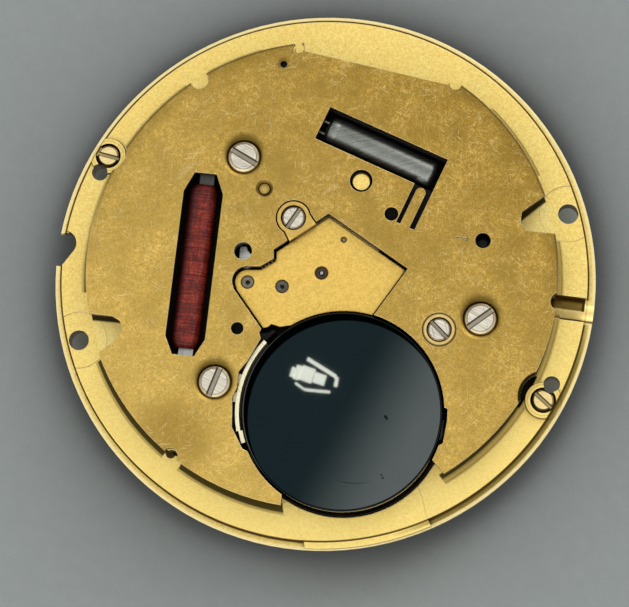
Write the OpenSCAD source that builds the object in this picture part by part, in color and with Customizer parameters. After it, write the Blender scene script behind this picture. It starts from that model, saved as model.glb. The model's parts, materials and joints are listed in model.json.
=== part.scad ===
// Quartz watch movement, module side up, stem towards +X, dial seat on z = 0.
// The origin is the hand centre on the dial seat. All lengths are millimetres.

/* [Plate and case fit] */
// Radius of the casing flange
flange_r = 13.0; // [12.9:0.05:13.2]
// Thickness of the casing flange
flange_t = 0.35; // [0.3:0.01:0.4]
// Radius of the ring above the flange
ring_r = 12.6; // [12.56:0.02:12.7]
// Height of the ring's bright top face
ring_z = 1.0; // [0.96:0.01:1.02]
// Radius of the date recess on the dial side
recess_r = 11.35; // [11.32:0.01:11.4]
// Depth of the date recess
recess_z = 0.25; // [0.25:0.005:0.26]
// Top of the web that carries the wheels
web_z = 0.72; // [0.7:0.01:0.74]
// Radius of the half-round notch at nine o'clock
notch_r = 0.62; // [0.5:0.02:0.7]

/* [Casing and dial fixings] */
// Distance of the casing clamp holes from the centre
clamp_at = 12.08; // [12.04:0.01:12.1]
// Radius of a casing clamp hole
clamp_r = 0.48; // [0.42:0.01:0.48]
// Radius of the shallow pad round a casing clamp hole
clamp_pad_r = 1.36; // [1.3:0.02:1.42]
// Distance of the dial foot holes and their screws from the centre
foot_at = 12.03; // [12.0:0.01:12.05]
// Radius of a dial foot hole
foot_r = 0.39; // [0.35:0.01:0.4]
// Radius of a dial foot screw's head
foot_screw_r = 0.52; // [0.48:0.01:0.53]
// Radius of the stem bore
stem_r = 0.45; // [0.42:0.01:0.46]
// Height of the stem's axis
stem_z = 0.75; // [0.74:0.005:0.76]

/* [Module] */
// Thickness of the cover plate
cover_t = 0.3; // [0.28:0.01:0.32]
// Radius of the cover plate
cover_r = 11.2; // [11.14:0.01:11.26]
// Thickness of the circuit board
board_t = 0.15; // [0.12:0.01:0.18]
// Height of the top of the carrier, under the circuit board
carrier_z = 2.05; // [2.03:0.01:2.07]
// Thickness of the train bridge
bridge_t = 0.35; // [0.3:0.01:0.36]
// Top of the train bridge
bridge_z = 2.1; // [2.08:0.01:2.12]
// Radius of a bridge jewel
jewel_r = 0.32; // [0.28:0.01:0.34]

/* [Battery] */
// Radius of the battery
cell_r = 4.7; // [4.66:0.01:4.72]
// Height of the battery
cell_h = 2.05; // [1.98:0.01:2.08]
// Radius of the battery's rounded shoulder
cell_round = 0.16; // [0.1:0.02:0.3]

/* [Coil and crystal] */
// Width of the coil winding
coil_w = 1.3; // [1.2:0.02:1.34]
// Length of the coil winding
coil_l = 7.95; // [7.6:0.05:8.1]
// Width of the coil core
core_w = 0.7; // [0.6:0.02:0.76]
// Radius of the crystal can
can_r = 0.74; // [0.68:0.01:0.76]
// Length of the crystal can
can_l = 5.5; // [5.0:0.05:5.6]

/* [Hands] */
// Radius of the hour hand seat
hour_r = 0.6; // [0.58:0.01:0.61]
// Radius of the minute hand seat
minute_r = 0.35; // [0.33:0.01:0.36]
// Radius of the seconds hand seat
seconds_r = 0.1; // [0.09:0.005:0.105]
// How far the hour hand seat stands out below the dial seat
hour_drop = 0.45; // [0.4:0.01:0.5]
// How far the minute hand seat stands out
minute_drop = 0.75; // [0.7:0.01:0.8]
// How far the seconds hand seat stands out
seconds_drop = 1.0; // [0.95:0.01:1.02]

/* [Hidden] */
$fn = 64;
play = 0.03;
gap = 0.05;
cut = 0.3;

// Levels, from the dial side up
cell_z = 0.33;
board_z = carrier_z;
cover_z = board_z + board_t;
top_z = cover_z + cover_t;
bridge_base = bridge_z - bridge_t;
carrier_base = 1.3;
stator_z = [0.95, 1.35];
core_z = [1.35, 1.7];
lever_z = [0.8, 1.02];

// Places seen on the module side
clamp_angles = [22, 202];
foot_angles = [162, -18];
foot_screw_angles = [157.8, -22.2];
cell = [1.9, -6.46];
rotor_at = [-3.43, -0.88];
inter_at = [-1.77, -0.88];
third_at = [0.83, 1.72];
hub = [0, 0];
cover_screw_at = [[-4.44, 5.05], [-4.26, -5.85], [7.75, -1.27]];
cover_slot_turn = [-24, 76, 43];
contact_screw_at = [5.9, -2.04];
contact_slot_turn = -39;
bridge_screw_at = [-1.66, 2.41];
bridge_slot_turn = 63;
bridge_steady_at = [[3.34, 0.38], [-2.44, -2.56]];
release_at = [7.39, 2.44];
yoke_at = [6.6, 3.0];
sight_post_at = [1.29, 4.58];
dimple_post_at = [-3.24, 3.64];
rotor_window_at = [-3.81, 0.51];
plain_holes = [[2.93, 3.17, 0.33], [-3.55, -3.2, 0.3], [-3.18, 9.78, 0.17]];
coil_at = [-6.02, -0.39];
coil_turn = 1.35;
coil_slot = [0.95, 4.41];
can_mid = [2.03, 6.23];
can_turn = -17.55;
can_slot = [6.2, 1.7];
can_z = 1.48;
cavity_r = 10.35;
plus_tab_r = 5.85;

// Screws
head_r = 0.73;
head_h = 0.22;
shank_r = 0.22;
boss_head_r = 0.56;
foot_boss_r = 0.85;
boss_r = 0.78;
pillar_r = 0.72;

// Tooth counts of the going train
rotor_n = 8;
inter_wheel_n = 48;
leaf_n = 8;
seconds_wheel_n = 40;
third_wheel_n = 60;
centre_wheel_n = 64;

// Tooth counts and module of the motion work and the date train
motion_m = 0.12;
cannon_n = 10;
minute_wheel_n = 30;
hour_wheel_n = 32;
setting_wheel_n = 20;
date_drive_n = 16;
date_idler_n = 28;
date_wheel_n = 32;
date_teeth = 31;

// Directions in which the motion work and the date train are laid out
minute_dir = 19.66;
date_dir = 135;
minute_reach = motion_m * (cannon_n + minute_wheel_n) / 2;
minute_at = minute_reach * [cos(minute_dir), sin(minute_dir)];
setting_reach = motion_m * (minute_wheel_n + setting_wheel_n) / 2;
setting_at = [minute_at.x + sqrt(setting_reach * setting_reach - minute_at.y * minute_at.y), 0];
idler_reach = motion_m * (date_drive_n + date_idler_n) / 2;
date_reach = idler_reach + motion_m * (date_idler_n + date_wheel_n) / 2;
idler_at = idler_reach * [cos(date_dir), sin(date_dir)];
date_at = date_reach * [cos(date_dir), sin(date_dir)];

// Direction from one place to another, in degrees
function heading(a, b) = atan2(b.y - a.y, b.x - a.x);
function around(r, a) = r * [cos(a), sin(a)];
function unit(v) = v / norm(v);
function side(v) = [v.y, -v.x];

// A closed outline moved outwards by g, corner by corner, where its points run anticlockwise
function grow(p, g) = [
    for (i = [0 : len(p) - 1])
        let (u = unit(p[i] - p[(i + len(p) - 1) % len(p)]))
        let (v = unit(p[(i + 1) % len(p)] - p[i]))
        let (m = side(u) + side(v))
        p[i] + m * 2 * g / (m * m)
];

// A place as seen from the middle of the coil, along and across it
function along_coil(p) = [
    (p.x - coil_at.x) * cos(coil_turn) + (p.y - coil_at.y) * sin(coil_turn),
    (p.y - coil_at.y) * cos(coil_turn) - (p.x - coil_at.x) * sin(coil_turn)
];

// Module of the pair of wheels whose centres are a and b
function pair_m(a, b, n1, n2) = 2 * norm(b - a) / (n1 + n2);

// Outline of a toothed wheel with a tooth at the angle phase
module teeth(n, m, phase) {
    share = [-0.3, -0.2, -0.08, 0.08, 0.2, 0.3];
    root = m * (n / 2 - 1.2);
    pitch = m * n / 2;
    tip = m * (n / 2 + 0.9);
    radius = [root, pitch, tip, tip, pitch, root];
    polygon([
        for (i = [0 : n - 1])
            for (k = [0 : 5])
                around(radius[k], phase + 360 / n * (i + share[k]))
    ]);
}

// A wheel at place a with a tooth that points at place b
module wheel(a, b, n, m, z, h) {
    translate([a.x, a.y, z])
        linear_extrude(h)
            teeth(n, m, heading(a, b));
}

// A pinion at place a with a gap that faces place b
module pinion(a, b, n, m, z, h) {
    translate([a.x, a.y, z])
        linear_extrude(h)
            teeth(n, m, heading(a, b) + 180 / n);
}

// An upright round bar from z1 to z2
module rod(p, r, z1, z2) {
    translate([p.x, p.y, z1])
        cylinder(r = r, h = z2 - z1);
}

// A slotted screw whose head stands on z
module screw(p, z, r, h, shank, length, turn) {
    bevel = 0.14 * r;
    slot_w = 0.36 * r;
    slot_d = 0.12;
    difference() {
        union() {
            rod(p, r, z, z + h - bevel);
            translate([p.x, p.y, z + h - bevel])
                cylinder(r1 = r, r2 = r - bevel, h = bevel);
            rod(p, shank, z - length, z);
        }
        translate([p.x, p.y, z + h - slot_d])
            rotate(turn)
                translate([-r - cut, -slot_w / 2, 0])
                    cube([2 * r + 2 * cut, slot_w, slot_d + cut]);
    }
}

// Outlines

// Edge of the cover plate where a ring ear shows, moved outwards by g
module right_ear(g) {
    polygon(grow([[12.43, 3.24], [12.34, 6.99], [10.04, 5], [9.03, 4.05], [9.04, 3.51], [9.37, 3.17]], g));
}

module left_ear(g) {
    polygon(grow([[-12.42, -3.44], [-12.32, -7.59], [-9.93, -5.22], [-9.1, -4.42], [-8.95, -3.95],
        [-9.14, -3.56], [-9.54, -3.38]], g));
}

// Straight edge at twelve o'clock
module chord(g) {
    polygon(grow([[-2.27, 10.55], [4.77, 9.74], [7.18, 13.67], [-2.92, 13.43]], g));
}

// Rounded ring tongues that stand in notches of the cover plate
module tongues(g) {
    for (t = [[-2.58, 10.68, 0.2], [5.12, 9.82, 0.22], [-7.1, 8.52, 0.38], [-5.8, -9.56, 0.3]])
        translate([t.x, t.y])
            circle(r = t.z + g);
}

// A place given by its direction from the battery's centre and its distance beyond the battery's wall
function by_cell(p) = cell + around(cell_r + p[1], p[0]);

function bay_left() = concat(
    [for (p = [[144.1, 0.51], [159.3, 0.37], [166.4, 0.53], [174.6, 0.38], [180.2, 0.51], [189.2, 0.46],
        [195.8, 0.52], [208.2, 0.28], [212, 0.01], [219, 0.03], [236.3, 0.01]]) by_cell(p)],
    [cell]);

function bay_right() = concat(
    [by_cell([10.7, -0.09]), cell],
    [for (p = [[-16, -0.66], [-12.8, 0.05], [-10.2, 0.25], [2.6, 0.24], [8.8, 0.24]]) by_cell(p)]);

function bay_bottom() = [
    by_cell([240.3, -0.15]), [-0.3, -12.61], [9.69, -12.38], by_cell([336, 0.91]), by_cell([339.9, -0.07]), cell];

// Opening for the battery with the gaps beside it, moved outwards by g
module battery_bay(g) {
    translate(cell)
        circle(r = cell_r + 0.1 + g);
    for (p = [bay_left(), bay_right(), bay_bottom()])
        polygon(grow(p, g));
}

// Open corner between the battery and the bridge's notched end, moved outwards by g
module bay_corner(g) {
    polygon(grow([[-2.49, -3.27], [-2.2, -3.9], [-1.0, -4.2], [-1.2, -2.6], [-2.3, -2.8]], g));
}

// Outline of the cover plate, drawn in by g
module plate_outline(g) {
    difference() {
        circle(r = cover_r - g, $fn = 128);
        right_ear(g);
        left_ear(g);
        chord(g);
        battery_bay(g);
        for (a = foot_screw_angles)
            translate(around(foot_at, a))
                circle(r = 1.08 + g);
        translate([11.36, 0])
            circle(r = 0.46 + g);
    }
}

// Outline of the train bridge, moved outwards by g
module bridge_outline(g) {
    difference() {
        union() {
            polygon(grow([[-0.01, 2.7], [-2.27, 0.73], [-2.21, 0.29], [-2.86, -0.21], [-3.61, -0.31],
                [-3.91, -1.29], [-2.38, -2.97], [-2.2, -2.92], [-2.01, -2.74], [-1.58, -2.81],
                [-1.14, -2.69], [0.46, -2.59], [2.45, -2.24], [2.66, -1.72], [3.92, 0.62]], g));
            translate(rotor_at)
                circle(r = 0.6 + g);
        }
        translate(cell)
            circle(r = cell_r + 0.12 - g);
    }
}

// The bridge screw's boss with its tail, moved outwards by g
module boss_outline(g) {
    translate(bridge_screw_at)
        circle(r = boss_r + g);
    polygon(grow([[-1.07, 2.83], [-2.15, 1.95], [-1.69, 1.26], [-0.55, 2.23]], g));
}

// Hollow of the main plate, drawn in by g
module cavity(g) {
    difference() {
        circle(r = cavity_r - g, $fn = 128);
        chord(0.85 + g);
        for (a = clamp_angles)
            translate(around(clamp_at, a))
                circle(r = 2.62 + g);
        for (a = foot_screw_angles)
            translate(around(foot_at, a))
                circle(r = 1.75 + g);
        translate([-6.9, 8.68])
            circle(r = 0.95 + g);
    }
}

// Rectangle with its middle at the origin and its long sides along X
module bar(l, w) {
    square([l, w], center = true);
}

module coil_slot_outline(g) {
    w = coil_slot.x;
    l = coil_slot.y;
    translate(coil_at)
        rotate(coil_turn)
            polygon(grow([[-w, -l + 0.85], [-w + 0.42, -l], [w - 0.42, -l], [w, -l + 0.85],
                [w, l - 0.95], [w - 0.42, l], [-w + 0.42, l], [-w, l - 0.95]], g));
}

// Slot over the crystal can, with the leg where its tongue lies
module can_slot_outline(g) {
    leg = [0.95, 2.9];
    translate(can_mid)
        rotate(can_turn) {
            bar(can_slot.x + 2 * g, can_slot.y + 2 * g);
            translate([can_slot.x / 2 - leg.x / 2, -leg.y / 2 + can_slot.y / 2 - 0.85])
                bar(leg.x + 2 * g, leg.y + 2 * g);
        }
}

module tongue_outline() {
    half = 0.24;
    translate(can_mid)
        rotate(can_turn) {
            translate([can_slot.x / 2 - 0.5, -1.15])
                circle(r = half);
            translate([can_slot.x / 2 - 0.5 - half, -3.2])
                square([2 * half, 2.05]);
        }
}

// Main plate

// Bottom segment, which runs out almost to the rim in short flats
module land_outline() {
    first = -85.8;
    last = -59.0;
    flats = 12;
    polygon(concat(
        [[0.34, -10.19], [0.4, -10.89], [0.52, -11.89], [0.9, -12.73]],
        [for (k = [0 : flats]) around(flange_r - 0.04, first + (last - first) / flats * k)],
        [[6.37, -10.6], [6.09, -9.81], [5.62, -9.07]]));
}

module stem_cuts() {
    channel_w = 0.76;
    slot_w = 1.16;
    trough_x = recess_r + 0.07;
    trough_r = 0.61;
    translate([5.95, -channel_w, 0.2])
        cube([2.9, 2 * channel_w, carrier_base - 0.2]);
    translate([8.8, -stem_r - play, stem_z - stem_r])
        cube([cavity_r - 8.8, 2 * (stem_r + play), carrier_base - stem_z + stem_r]);
    translate([cavity_r - 1, 0, stem_z])
        rotate([0, 90, 0])
            cylinder(r = stem_r, h = trough_x - cavity_r + 1);
    translate([11.08, -slot_w / 2, stem_z])
        cube([flange_r - 10, slot_w, 2]);
    intersection() {
        translate([trough_x, 0, 0.245 + trough_r])
            rotate([0, 90, 0])
                cylinder(r = trough_r, h = flange_r);
        translate([trough_x, -slot_w / 2, 0])
            cube([flange_r, slot_w, 2]);
    }
}

// Pockets under the web for the wheels of the motion work
module motion_pockets() {
    rod(hub, 0.82, 0.2, 0.52);
    rod(minute_at, 1.98, 0.2, 0.5);
    rod(setting_at, 1.38, 0.2, 0.5);
}

// Half-round notch at nine o'clock that runs out in a slanting flank
module notch() {
    middle = [-(ring_r + 0.06), 0.06];
    rod(middle, notch_r, -cut, ring_z + cut);
    translate([0, 0, -cut])
        linear_extrude(ring_z + 2 * cut)
            polygon([middle, middle + [notch_r - 0.08, -0.3], middle + [0.12, -1.02], middle + [-0.7, -1.06],
                middle + [-0.7, notch_r]]);
}

module plate_holes() {
    for (a = clamp_angles)
        rod(around(clamp_at, a), clamp_r, -cut, ring_z + cut);
    for (a = foot_angles)
        rod(around(foot_at, a), foot_r, -cut, ring_z + 1);
    for (a = foot_screw_angles) {
        rod(around(foot_at, a), foot_screw_r + 0.09, 0.8, ring_z + 1);
        rod(around(foot_at, a), shank_r + play, 0.3, ring_z);
    }
    rod(hub, 0.25, 0, web_z + cut);
    for (p = [rotor_at, inter_at, third_at])
        rod(p, 0.08, 0.55, web_z + cut);
    rod(release_at, 0.25, 0.38, web_z + cut);
    rod(yoke_at, 0.15, 0.4, web_z + cut);
    for (a = calendar_angles)
        rod(around(calendar_screw_at, a), 0.2, -cut, 0.6);
    notch();
}

module battery_pocket() {
    rod(cell, cell_r + 0.16, cell_z, top_z + 1);
    translate([cell.x - 0.3, cell.y - 0.65, 0.2])
        cube([6.15, 1.3, 0.6]);
}

// Posts that stand on the web
module web_posts() {
    for (p = cover_screw_at)
        difference() {
            rod(p, pillar_r, web_z - gap, p.x < 0 ? stator_z[0] : carrier_z);
            rod(p, shank_r + 0.02, web_z + 0.05, top_z);
        }
    difference() {
        rod(contact_screw_at, pillar_r, web_z - gap, 1.9);
        rod(contact_screw_at, shank_r + 0.02, 1.1, top_z);
    }
    difference() {
        rod(bridge_screw_at, 0.6, web_z - gap, bridge_base);
        rod(bridge_screw_at, shank_r + 0.02, 1.0, top_z);
    }
    for (p = bridge_steady_at)
        rod(p, 0.28, web_z - gap, bridge_base);
    rod(sight_post_at, 0.42, web_z - gap, 2.34);
    rod(dimple_post_at, 0.25, web_z - gap, 2.4);
    for (p = [[-8.6, 0.5], [-2.0, 8.6], [6.5, 6.5], [8.6, -4.2], [-7.2, -5.6], [2.6, 8.6]])
        rod(p, 0.55, web_z - gap, carrier_base);
}

// Posts that hang from the web into the date recess
module recess_posts() {
    for (p = [minute_at, setting_at])
        rod(p, 0.17, 0.07, 0.52);
    for (p = [idler_at, date_at])
        rod(p, 0.17, 0.07, recess_z + gap);
    for (a = calendar_angles)
        difference() {
            rod(around(calendar_screw_at, a), 0.5, calendar_t, recess_z + gap);
            rod(around(calendar_screw_at, a), 0.2, -cut, 0.6);
        }
}

// Deeper floor round the foot screw bosses, inside the ring
module foot_boss_moats() {
    intersection() {
        cylinder(r = cover_r + 0.05, h = 3, $fn = 128);
        for (a = foot_screw_angles)
            difference() {
                rod(around(foot_at, a), 1.21, 0.6, ring_z + 1);
                rod(around(foot_at, a), foot_boss_r, 0, 3);
            }
    }
}

module main_plate() {
    color("#dcbc70") {
        difference() {
            union() {
                cylinder(r = flange_r, h = flange_t, $fn = 128);
                difference() {
                    cylinder(r = ring_r, h = ring_z, $fn = 128);
                    for (a = clamp_angles)
                        rod(around(clamp_at, a), clamp_pad_r, ring_z - 0.04, ring_z + cut);
                }
                linear_extrude(ring_z + 0.03)
                    land_outline();
                linear_extrude(carrier_z)
                    difference() {
                        plate_outline(0.12);
                        tongues(0);
                    }
                intersection() {
                    cylinder(r = ring_r, h = ring_z + 0.2, $fn = 128);
                    for (a = foot_screw_angles)
                        rod(around(foot_at, a), foot_boss_r, ring_z - gap, ring_z + 0.2);
                }
            }
            translate([0, 0, -cut])
                cylinder(r = recess_r, h = recess_z + cut, $fn = 128);
            translate([0, 0, web_z])
                linear_extrude(2)
                    cavity(0);
            battery_pocket();
            motion_pockets();
            foot_boss_moats();
            stem_cuts();
            plate_holes();
        }
        web_posts();
        recess_posts();
    }
}

// Dial side

calendar_t = 0.06;
calendar_r = 9.15;
calendar_screw_at = 8.15;
calendar_angles = [35, 100, 185, 340];
ring_in = 9.28;
ring_out = recess_r - 0.1;
date_z = [0.08, 0.22];
tooth_tip = 8.86;
// Turn of the ring at which a gap between two teeth faces the date wheel
date_phase = date_dir - 360 / date_teeth * 12;

module calendar_plate() {
    color("#d6b566")
        difference() {
            cylinder(r = calendar_r, h = calendar_t, $fn = 128);
            rod(hub, hour_r + 0.24, -cut, 1);
            rod(date_at, 1.3, -cut, 1);
            rod(idler_at, 0.6, -cut, 1);
            rod(minute_at, 0.5, -cut, 1);
            rod(setting_at, 0.9, -cut, 1);
            for (a = calendar_angles)
                translate(concat(around(calendar_screw_at, a), [-0.001]))
                    cylinder(r1 = 0.42, r2 = 0.24, h = calendar_t + 0.002);
            translate([-7.6, -5.6, -cut])
                rotate(35)
                    cube([2.6, 0.9, 1]);
        }
}

module calendar_screws() {
    color("#c9ccd0")
        for (a = calendar_angles)
            translate(concat(around(calendar_screw_at, a), [0]))
                difference() {
                    union() {
                        cylinder(r1 = 0.4, r2 = 0.22, h = calendar_t);
                        cylinder(r = 0.18, h = 0.58);
                    }
                    rotate(a * 3)
                        translate([-0.5, -0.06, -cut])
                            cube([1, 0.12, cut + 0.035]);
                }
}

module date_ring() {
    color("#e9e4d6")
        difference() {
            translate([0, 0, date_z[0]])
                linear_extrude(date_z[1] - date_z[0])
                    difference() {
                        circle(r = ring_out, $fn = 128);
                        polygon([
                            for (i = [0 : date_teeth - 1])
                                for (k = [0 : 3])
                                    around([ring_in, ring_in, tooth_tip, tooth_tip][k],
                                        date_phase + 360 / date_teeth * (i + [-0.3, 0.3, 0.42, 0.58][k]))
                        ]);
                    }
        }
}

// Spring that holds the date ring between two steps
module date_jumper() {
    beak = date_phase + 360 / date_teeth * 19;
    root = around(5.6, beak - 28);
    color("#b9bcc0")
        translate([0, 0, date_z[0]])
            linear_extrude(0.11)
                difference() {
                    union() {
                        translate(root)
                            circle(r = 0.7);
                        polygon([root + around(0.6, beak - 60), around(8.7, beak - 5.2), around(9.1, beak - 0.6),
                            around(9.12, beak + 0.6), around(8.5, beak + 1.5), around(8.35, beak - 4),
                            root + around(0.6, beak + 60)]);
                    }
                    translate(root)
                        circle(r = 0.24);
                }
}

module hour_wheel() {
    color("#dcbc70")
        difference() {
            union() {
                wheel(hub, minute_at, hour_wheel_n, motion_m, 0.16, 0.08);
                wheel(hub, idler_at, date_drive_n, motion_m, 0.07, 0.07);
                rod(hub, hour_r + 0.18, 0, 0.2);
                rod(hub, hour_r, -hour_drop, 0.05);
            }
            rod(hub, minute_r + 0.05, -2, 1);
        }
}

module cannon_pinion() {
    color("#c8cbd0")
        difference() {
            union() {
                pinion(hub, minute_at, cannon_n, motion_m, 0.3, 0.16);
                rod(hub, minute_r + 0.02, -hour_drop - 0.02, 0.5);
                rod(hub, minute_r, -minute_drop, 0);
            }
            rod(hub, 0.235, -0.42, 1);
            rod(hub, seconds_r + 0.04, -2, 1);
        }
}

module minute_wheel() {
    color("#dcbc70")
        difference() {
            wheel(minute_at, hub, minute_wheel_n, motion_m, 0.31, 0.13);
            rod(minute_at, 0.3, 0, 1);
            for (a = [0 : 72 : 288])
                rod(minute_at + around(1.0, a), 0.36, 0, 1);
        }
}

module minute_pinion() {
    color("#c8cbd0")
        difference() {
            union() {
                pinion(minute_at, hub, leaf_n, motion_m, 0.15, 0.16);
                rod(minute_at, 0.3, 0.2, 0.44);
            }
            rod(minute_at, 0.2, 0, 1);
        }
}

module setting_wheel() {
    color("#c8cbd0")
        difference() {
            pinion(setting_at, minute_at, setting_wheel_n, motion_m, 0.31, 0.13);
            rod(setting_at, 0.2, 0, 1);
        }
}

module date_idler() {
    color("#dcbc70")
        difference() {
            wheel(idler_at, hub, date_idler_n, motion_m, 0.07, 0.07);
            rod(idler_at, 0.2, 0, 1);
        }
}

// Wheel that turns once a day, with the finger that steps the date ring
module date_wheel() {
    finger = date_dir + 180;
    reach = 9.09 - date_reach;
    color("#dcbc70")
        difference() {
            union() {
                wheel(date_at, idler_at, date_wheel_n, motion_m, 0.07, 0.07);
                rod(date_at, 0.6, 0.1, 0.23);
                translate([date_at.x, date_at.y, 0.16])
                    linear_extrude(0.07)
                        polygon([around(0.55, finger - 40), around(reach, finger - 3), around(reach, finger + 3),
                            around(0.55, finger + 40)]);
            }
            rod(date_at, 0.2, 0, 1);
        }
}

// Going train

centre_z = [0.8, 0.92];
seconds_z = [1.02, 1.14];
upper_z = [1.45, 1.57];
pivot_r = 0.055;
arbor_r = 0.1;
upper_pivot = bridge_z - 0.1;
rotor_m = pair_m(rotor_at, inter_at, rotor_n, inter_wheel_n);
inter_m = pair_m(inter_at, hub, leaf_n, seconds_wheel_n);
seconds_m = pair_m(hub, third_at, leaf_n, third_wheel_n);
third_m = pair_m(third_at, hub, leaf_n, centre_wheel_n);

// A plain arbor with a thin pivot at each end
module arbor(p) {
    rod(p, pivot_r, 0.6, upper_pivot);
    rod(p, arbor_r, web_z + play, 1.68);
}

module rotor_magnet() {
    color("#5b5e62")
        difference() {
            rod(rotor_at, 0.5, stator_z[0] + play, stator_z[1] - play);
            rod(rotor_at, arbor_r, 0, 3);
        }
}

module rotor_pinion() {
    color("#d9dadc") {
        arbor(rotor_at);
        pinion(rotor_at, inter_at, rotor_n, rotor_m, 1.4, 0.26);
    }
}

module intermediate_wheel() {
    color("#d8b65f")
        difference() {
            wheel(inter_at, rotor_at, inter_wheel_n, rotor_m, upper_z[0], upper_z[1] - upper_z[0]);
            rod(inter_at, arbor_r, 0, 3);
        }
}

module intermediate_pinion() {
    color("#d9dadc") {
        arbor(inter_at);
        pinion(inter_at, hub, leaf_n, inter_m, 0.98, 0.22);
    }
}

module seconds_wheel() {
    color("#d8b65f")
        difference() {
            wheel(hub, inter_at, seconds_wheel_n, inter_m, seconds_z[0], seconds_z[1] - seconds_z[0]);
            rod(hub, seconds_r + 0.01, 0, 3);
        }
}

module seconds_pinion() {
    color("#d9dadc") {
        rod(hub, seconds_r, -seconds_drop, 0);
        rod(hub, seconds_r + 0.01, -minute_drop - 0.02, 1.68);
        rod(hub, pivot_r + 0.02, 1.6, bridge_z - 0.02);
        pinion(hub, third_at, leaf_n, seconds_m, 1.41, 0.2);
    }
}

module third_wheel() {
    color("#d8b65f")
        difference() {
            wheel(third_at, hub, third_wheel_n, seconds_m, upper_z[0], upper_z[1] - upper_z[0]);
            rod(third_at, arbor_r, 0, 3);
        }
}

module third_pinion() {
    color("#d9dadc") {
        arbor(third_at);
        pinion(third_at, hub, leaf_n, third_m, 0.77, 0.2);
    }
}

module centre_wheel() {
    color("#d8b65f")
        difference() {
            wheel(hub, third_at, centre_wheel_n, third_m, centre_z[0], centre_z[1] - centre_z[0]);
            rod(hub, 0.22, 0, 3);
        }
}

module centre_pipe() {
    color("#d9dadc")
        difference() {
            union() {
                rod(hub, 0.22, -0.4, 0.98);
                rod(hub, 0.32, web_z + 0.02, centre_z[0]);
            }
            rod(hub, seconds_r + 0.04, -2, 2);
        }
}

module train_bridge() {
    color("#e3c57c")
        difference() {
            union() {
                translate([0, 0, bridge_base])
                    linear_extrude(bridge_t)
                        bridge_outline(0);
                translate([0, 0, bridge_base])
                    linear_extrude(top_z - bridge_base)
                        boss_outline(0);
            }
            for (p = [rotor_at, inter_at, hub])
                rod(p, jewel_r, bridge_z - 0.22, bridge_z + cut);
            for (p = [rotor_at, inter_at, hub])
                rod(p, 0.2, 0, 3);
            rod(third_at, 0.08, 0, 3);
            rod(third_at, 0.15, bridge_z - 0.12, 3);
            rod(bridge_screw_at, boss_head_r + 0.04, 2.2, 3);
            rod(bridge_screw_at, shank_r + play, 0, 3);
        }
}

module bearing_jewels() {
    color("#8e8a86")
        for (p = [rotor_at, inter_at, hub])
            difference() {
                rod(p, jewel_r, bridge_z - 0.22, bridge_z - 0.01);
                rod(p, p == hub ? 0.1 : 0.075, 0, 3);
                translate([p.x, p.y, bridge_z - 0.08])
                    cylinder(r1 = 0.08, r2 = 0.2, h = 0.08);
            }
}

// Motor

module stator() {
    legs = [[-4.81, -5.87], [-3.71, -5.84], [-3.33, -3.08], [-2.71, -1.76], [-2.61, 0.24], [-2.78, 1.35],
        [-3.62, 2.6], [-3.82, 5.06], [-5.07, 5.03], [-4.55, 2.9], [-3.5, 1.6], [-3.34, 1.0], [-3.36, 0.68],
        [-3.57, 0.62], [-3.69, 0.73], [-3.76, 0.83], [-3.82, 0.95], [-4.11, 0.88], [-4.08, 0.37],
        [-4.6, -0.3], [-4.97, -1.1], [-4.95, -2.12]];
    color("#a9a9a6")
        translate([0, 0, stator_z[0]])
            linear_extrude(stator_z[1] - stator_z[0])
                difference() {
                    union() {
                        polygon(legs);
                        for (k = [0, 1])
                            translate(cover_screw_at[k])
                                circle(r = 0.68);
                    }
                    translate(rotor_at)
                        circle(r = 0.6);
                    for (k = [0, 1])
                        translate(cover_screw_at[k])
                            circle(r = shank_r + play);
                    translate(dimple_post_at)
                        circle(r = 0.32);
                }
}

// Outline of the coil core, moved outwards by g, in the coil's own directions
module core_outline(g) {
    ends = [for (k = [0, 1]) along_coil(cover_screw_at[k])];
    width = 0.9;
    translate(coil_at)
        rotate(coil_turn) {
            translate([0, (ends[0].y + ends[1].y) / 2])
                bar(core_w + 2 * g, ends[0].y - ends[1].y + width + 2 * g);
            for (e = ends) {
                translate([e.x / 2, e.y])
                    bar(e.x, width + 2 * g);
                translate(e)
                    circle(r = 0.62 + g);
            }
        }
}

module coil_core() {
    color("#8f9294")
        translate([0, 0, core_z[0]])
            linear_extrude(core_z[1] - core_z[0])
                difference() {
                    core_outline(0);
                    for (k = [0, 1])
                        translate(cover_screw_at[k])
                            circle(r = shank_r + play);
                }
}

// The wound wire as one bar with round corners, open along the core
module coil_winding() {
    round = 0.32;
    low = 1.0;
    high = 2.06;
    half = coil_w / 2;
    color("#7c2f2b")
        translate([coil_at.x, coil_at.y, 0])
            rotate([90, 0, coil_turn])
                linear_extrude(coil_l, center = true)
                    difference() {
                        union() {
                            translate([-half, low + round])
                                square([coil_w, high - low - 2 * round]);
                            translate([-half + round, low])
                                square([coil_w - 2 * round, high - low]);
                            for (x = [-half + round, half - round])
                                for (z = [low + round, high - round])
                                    translate([x, z])
                                        circle(r = round);
                        }
                        translate([-core_w / 2, core_z[0]])
                            square([core_w, core_z[1] - core_z[0]]);
                    }
}

// Module

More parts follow.
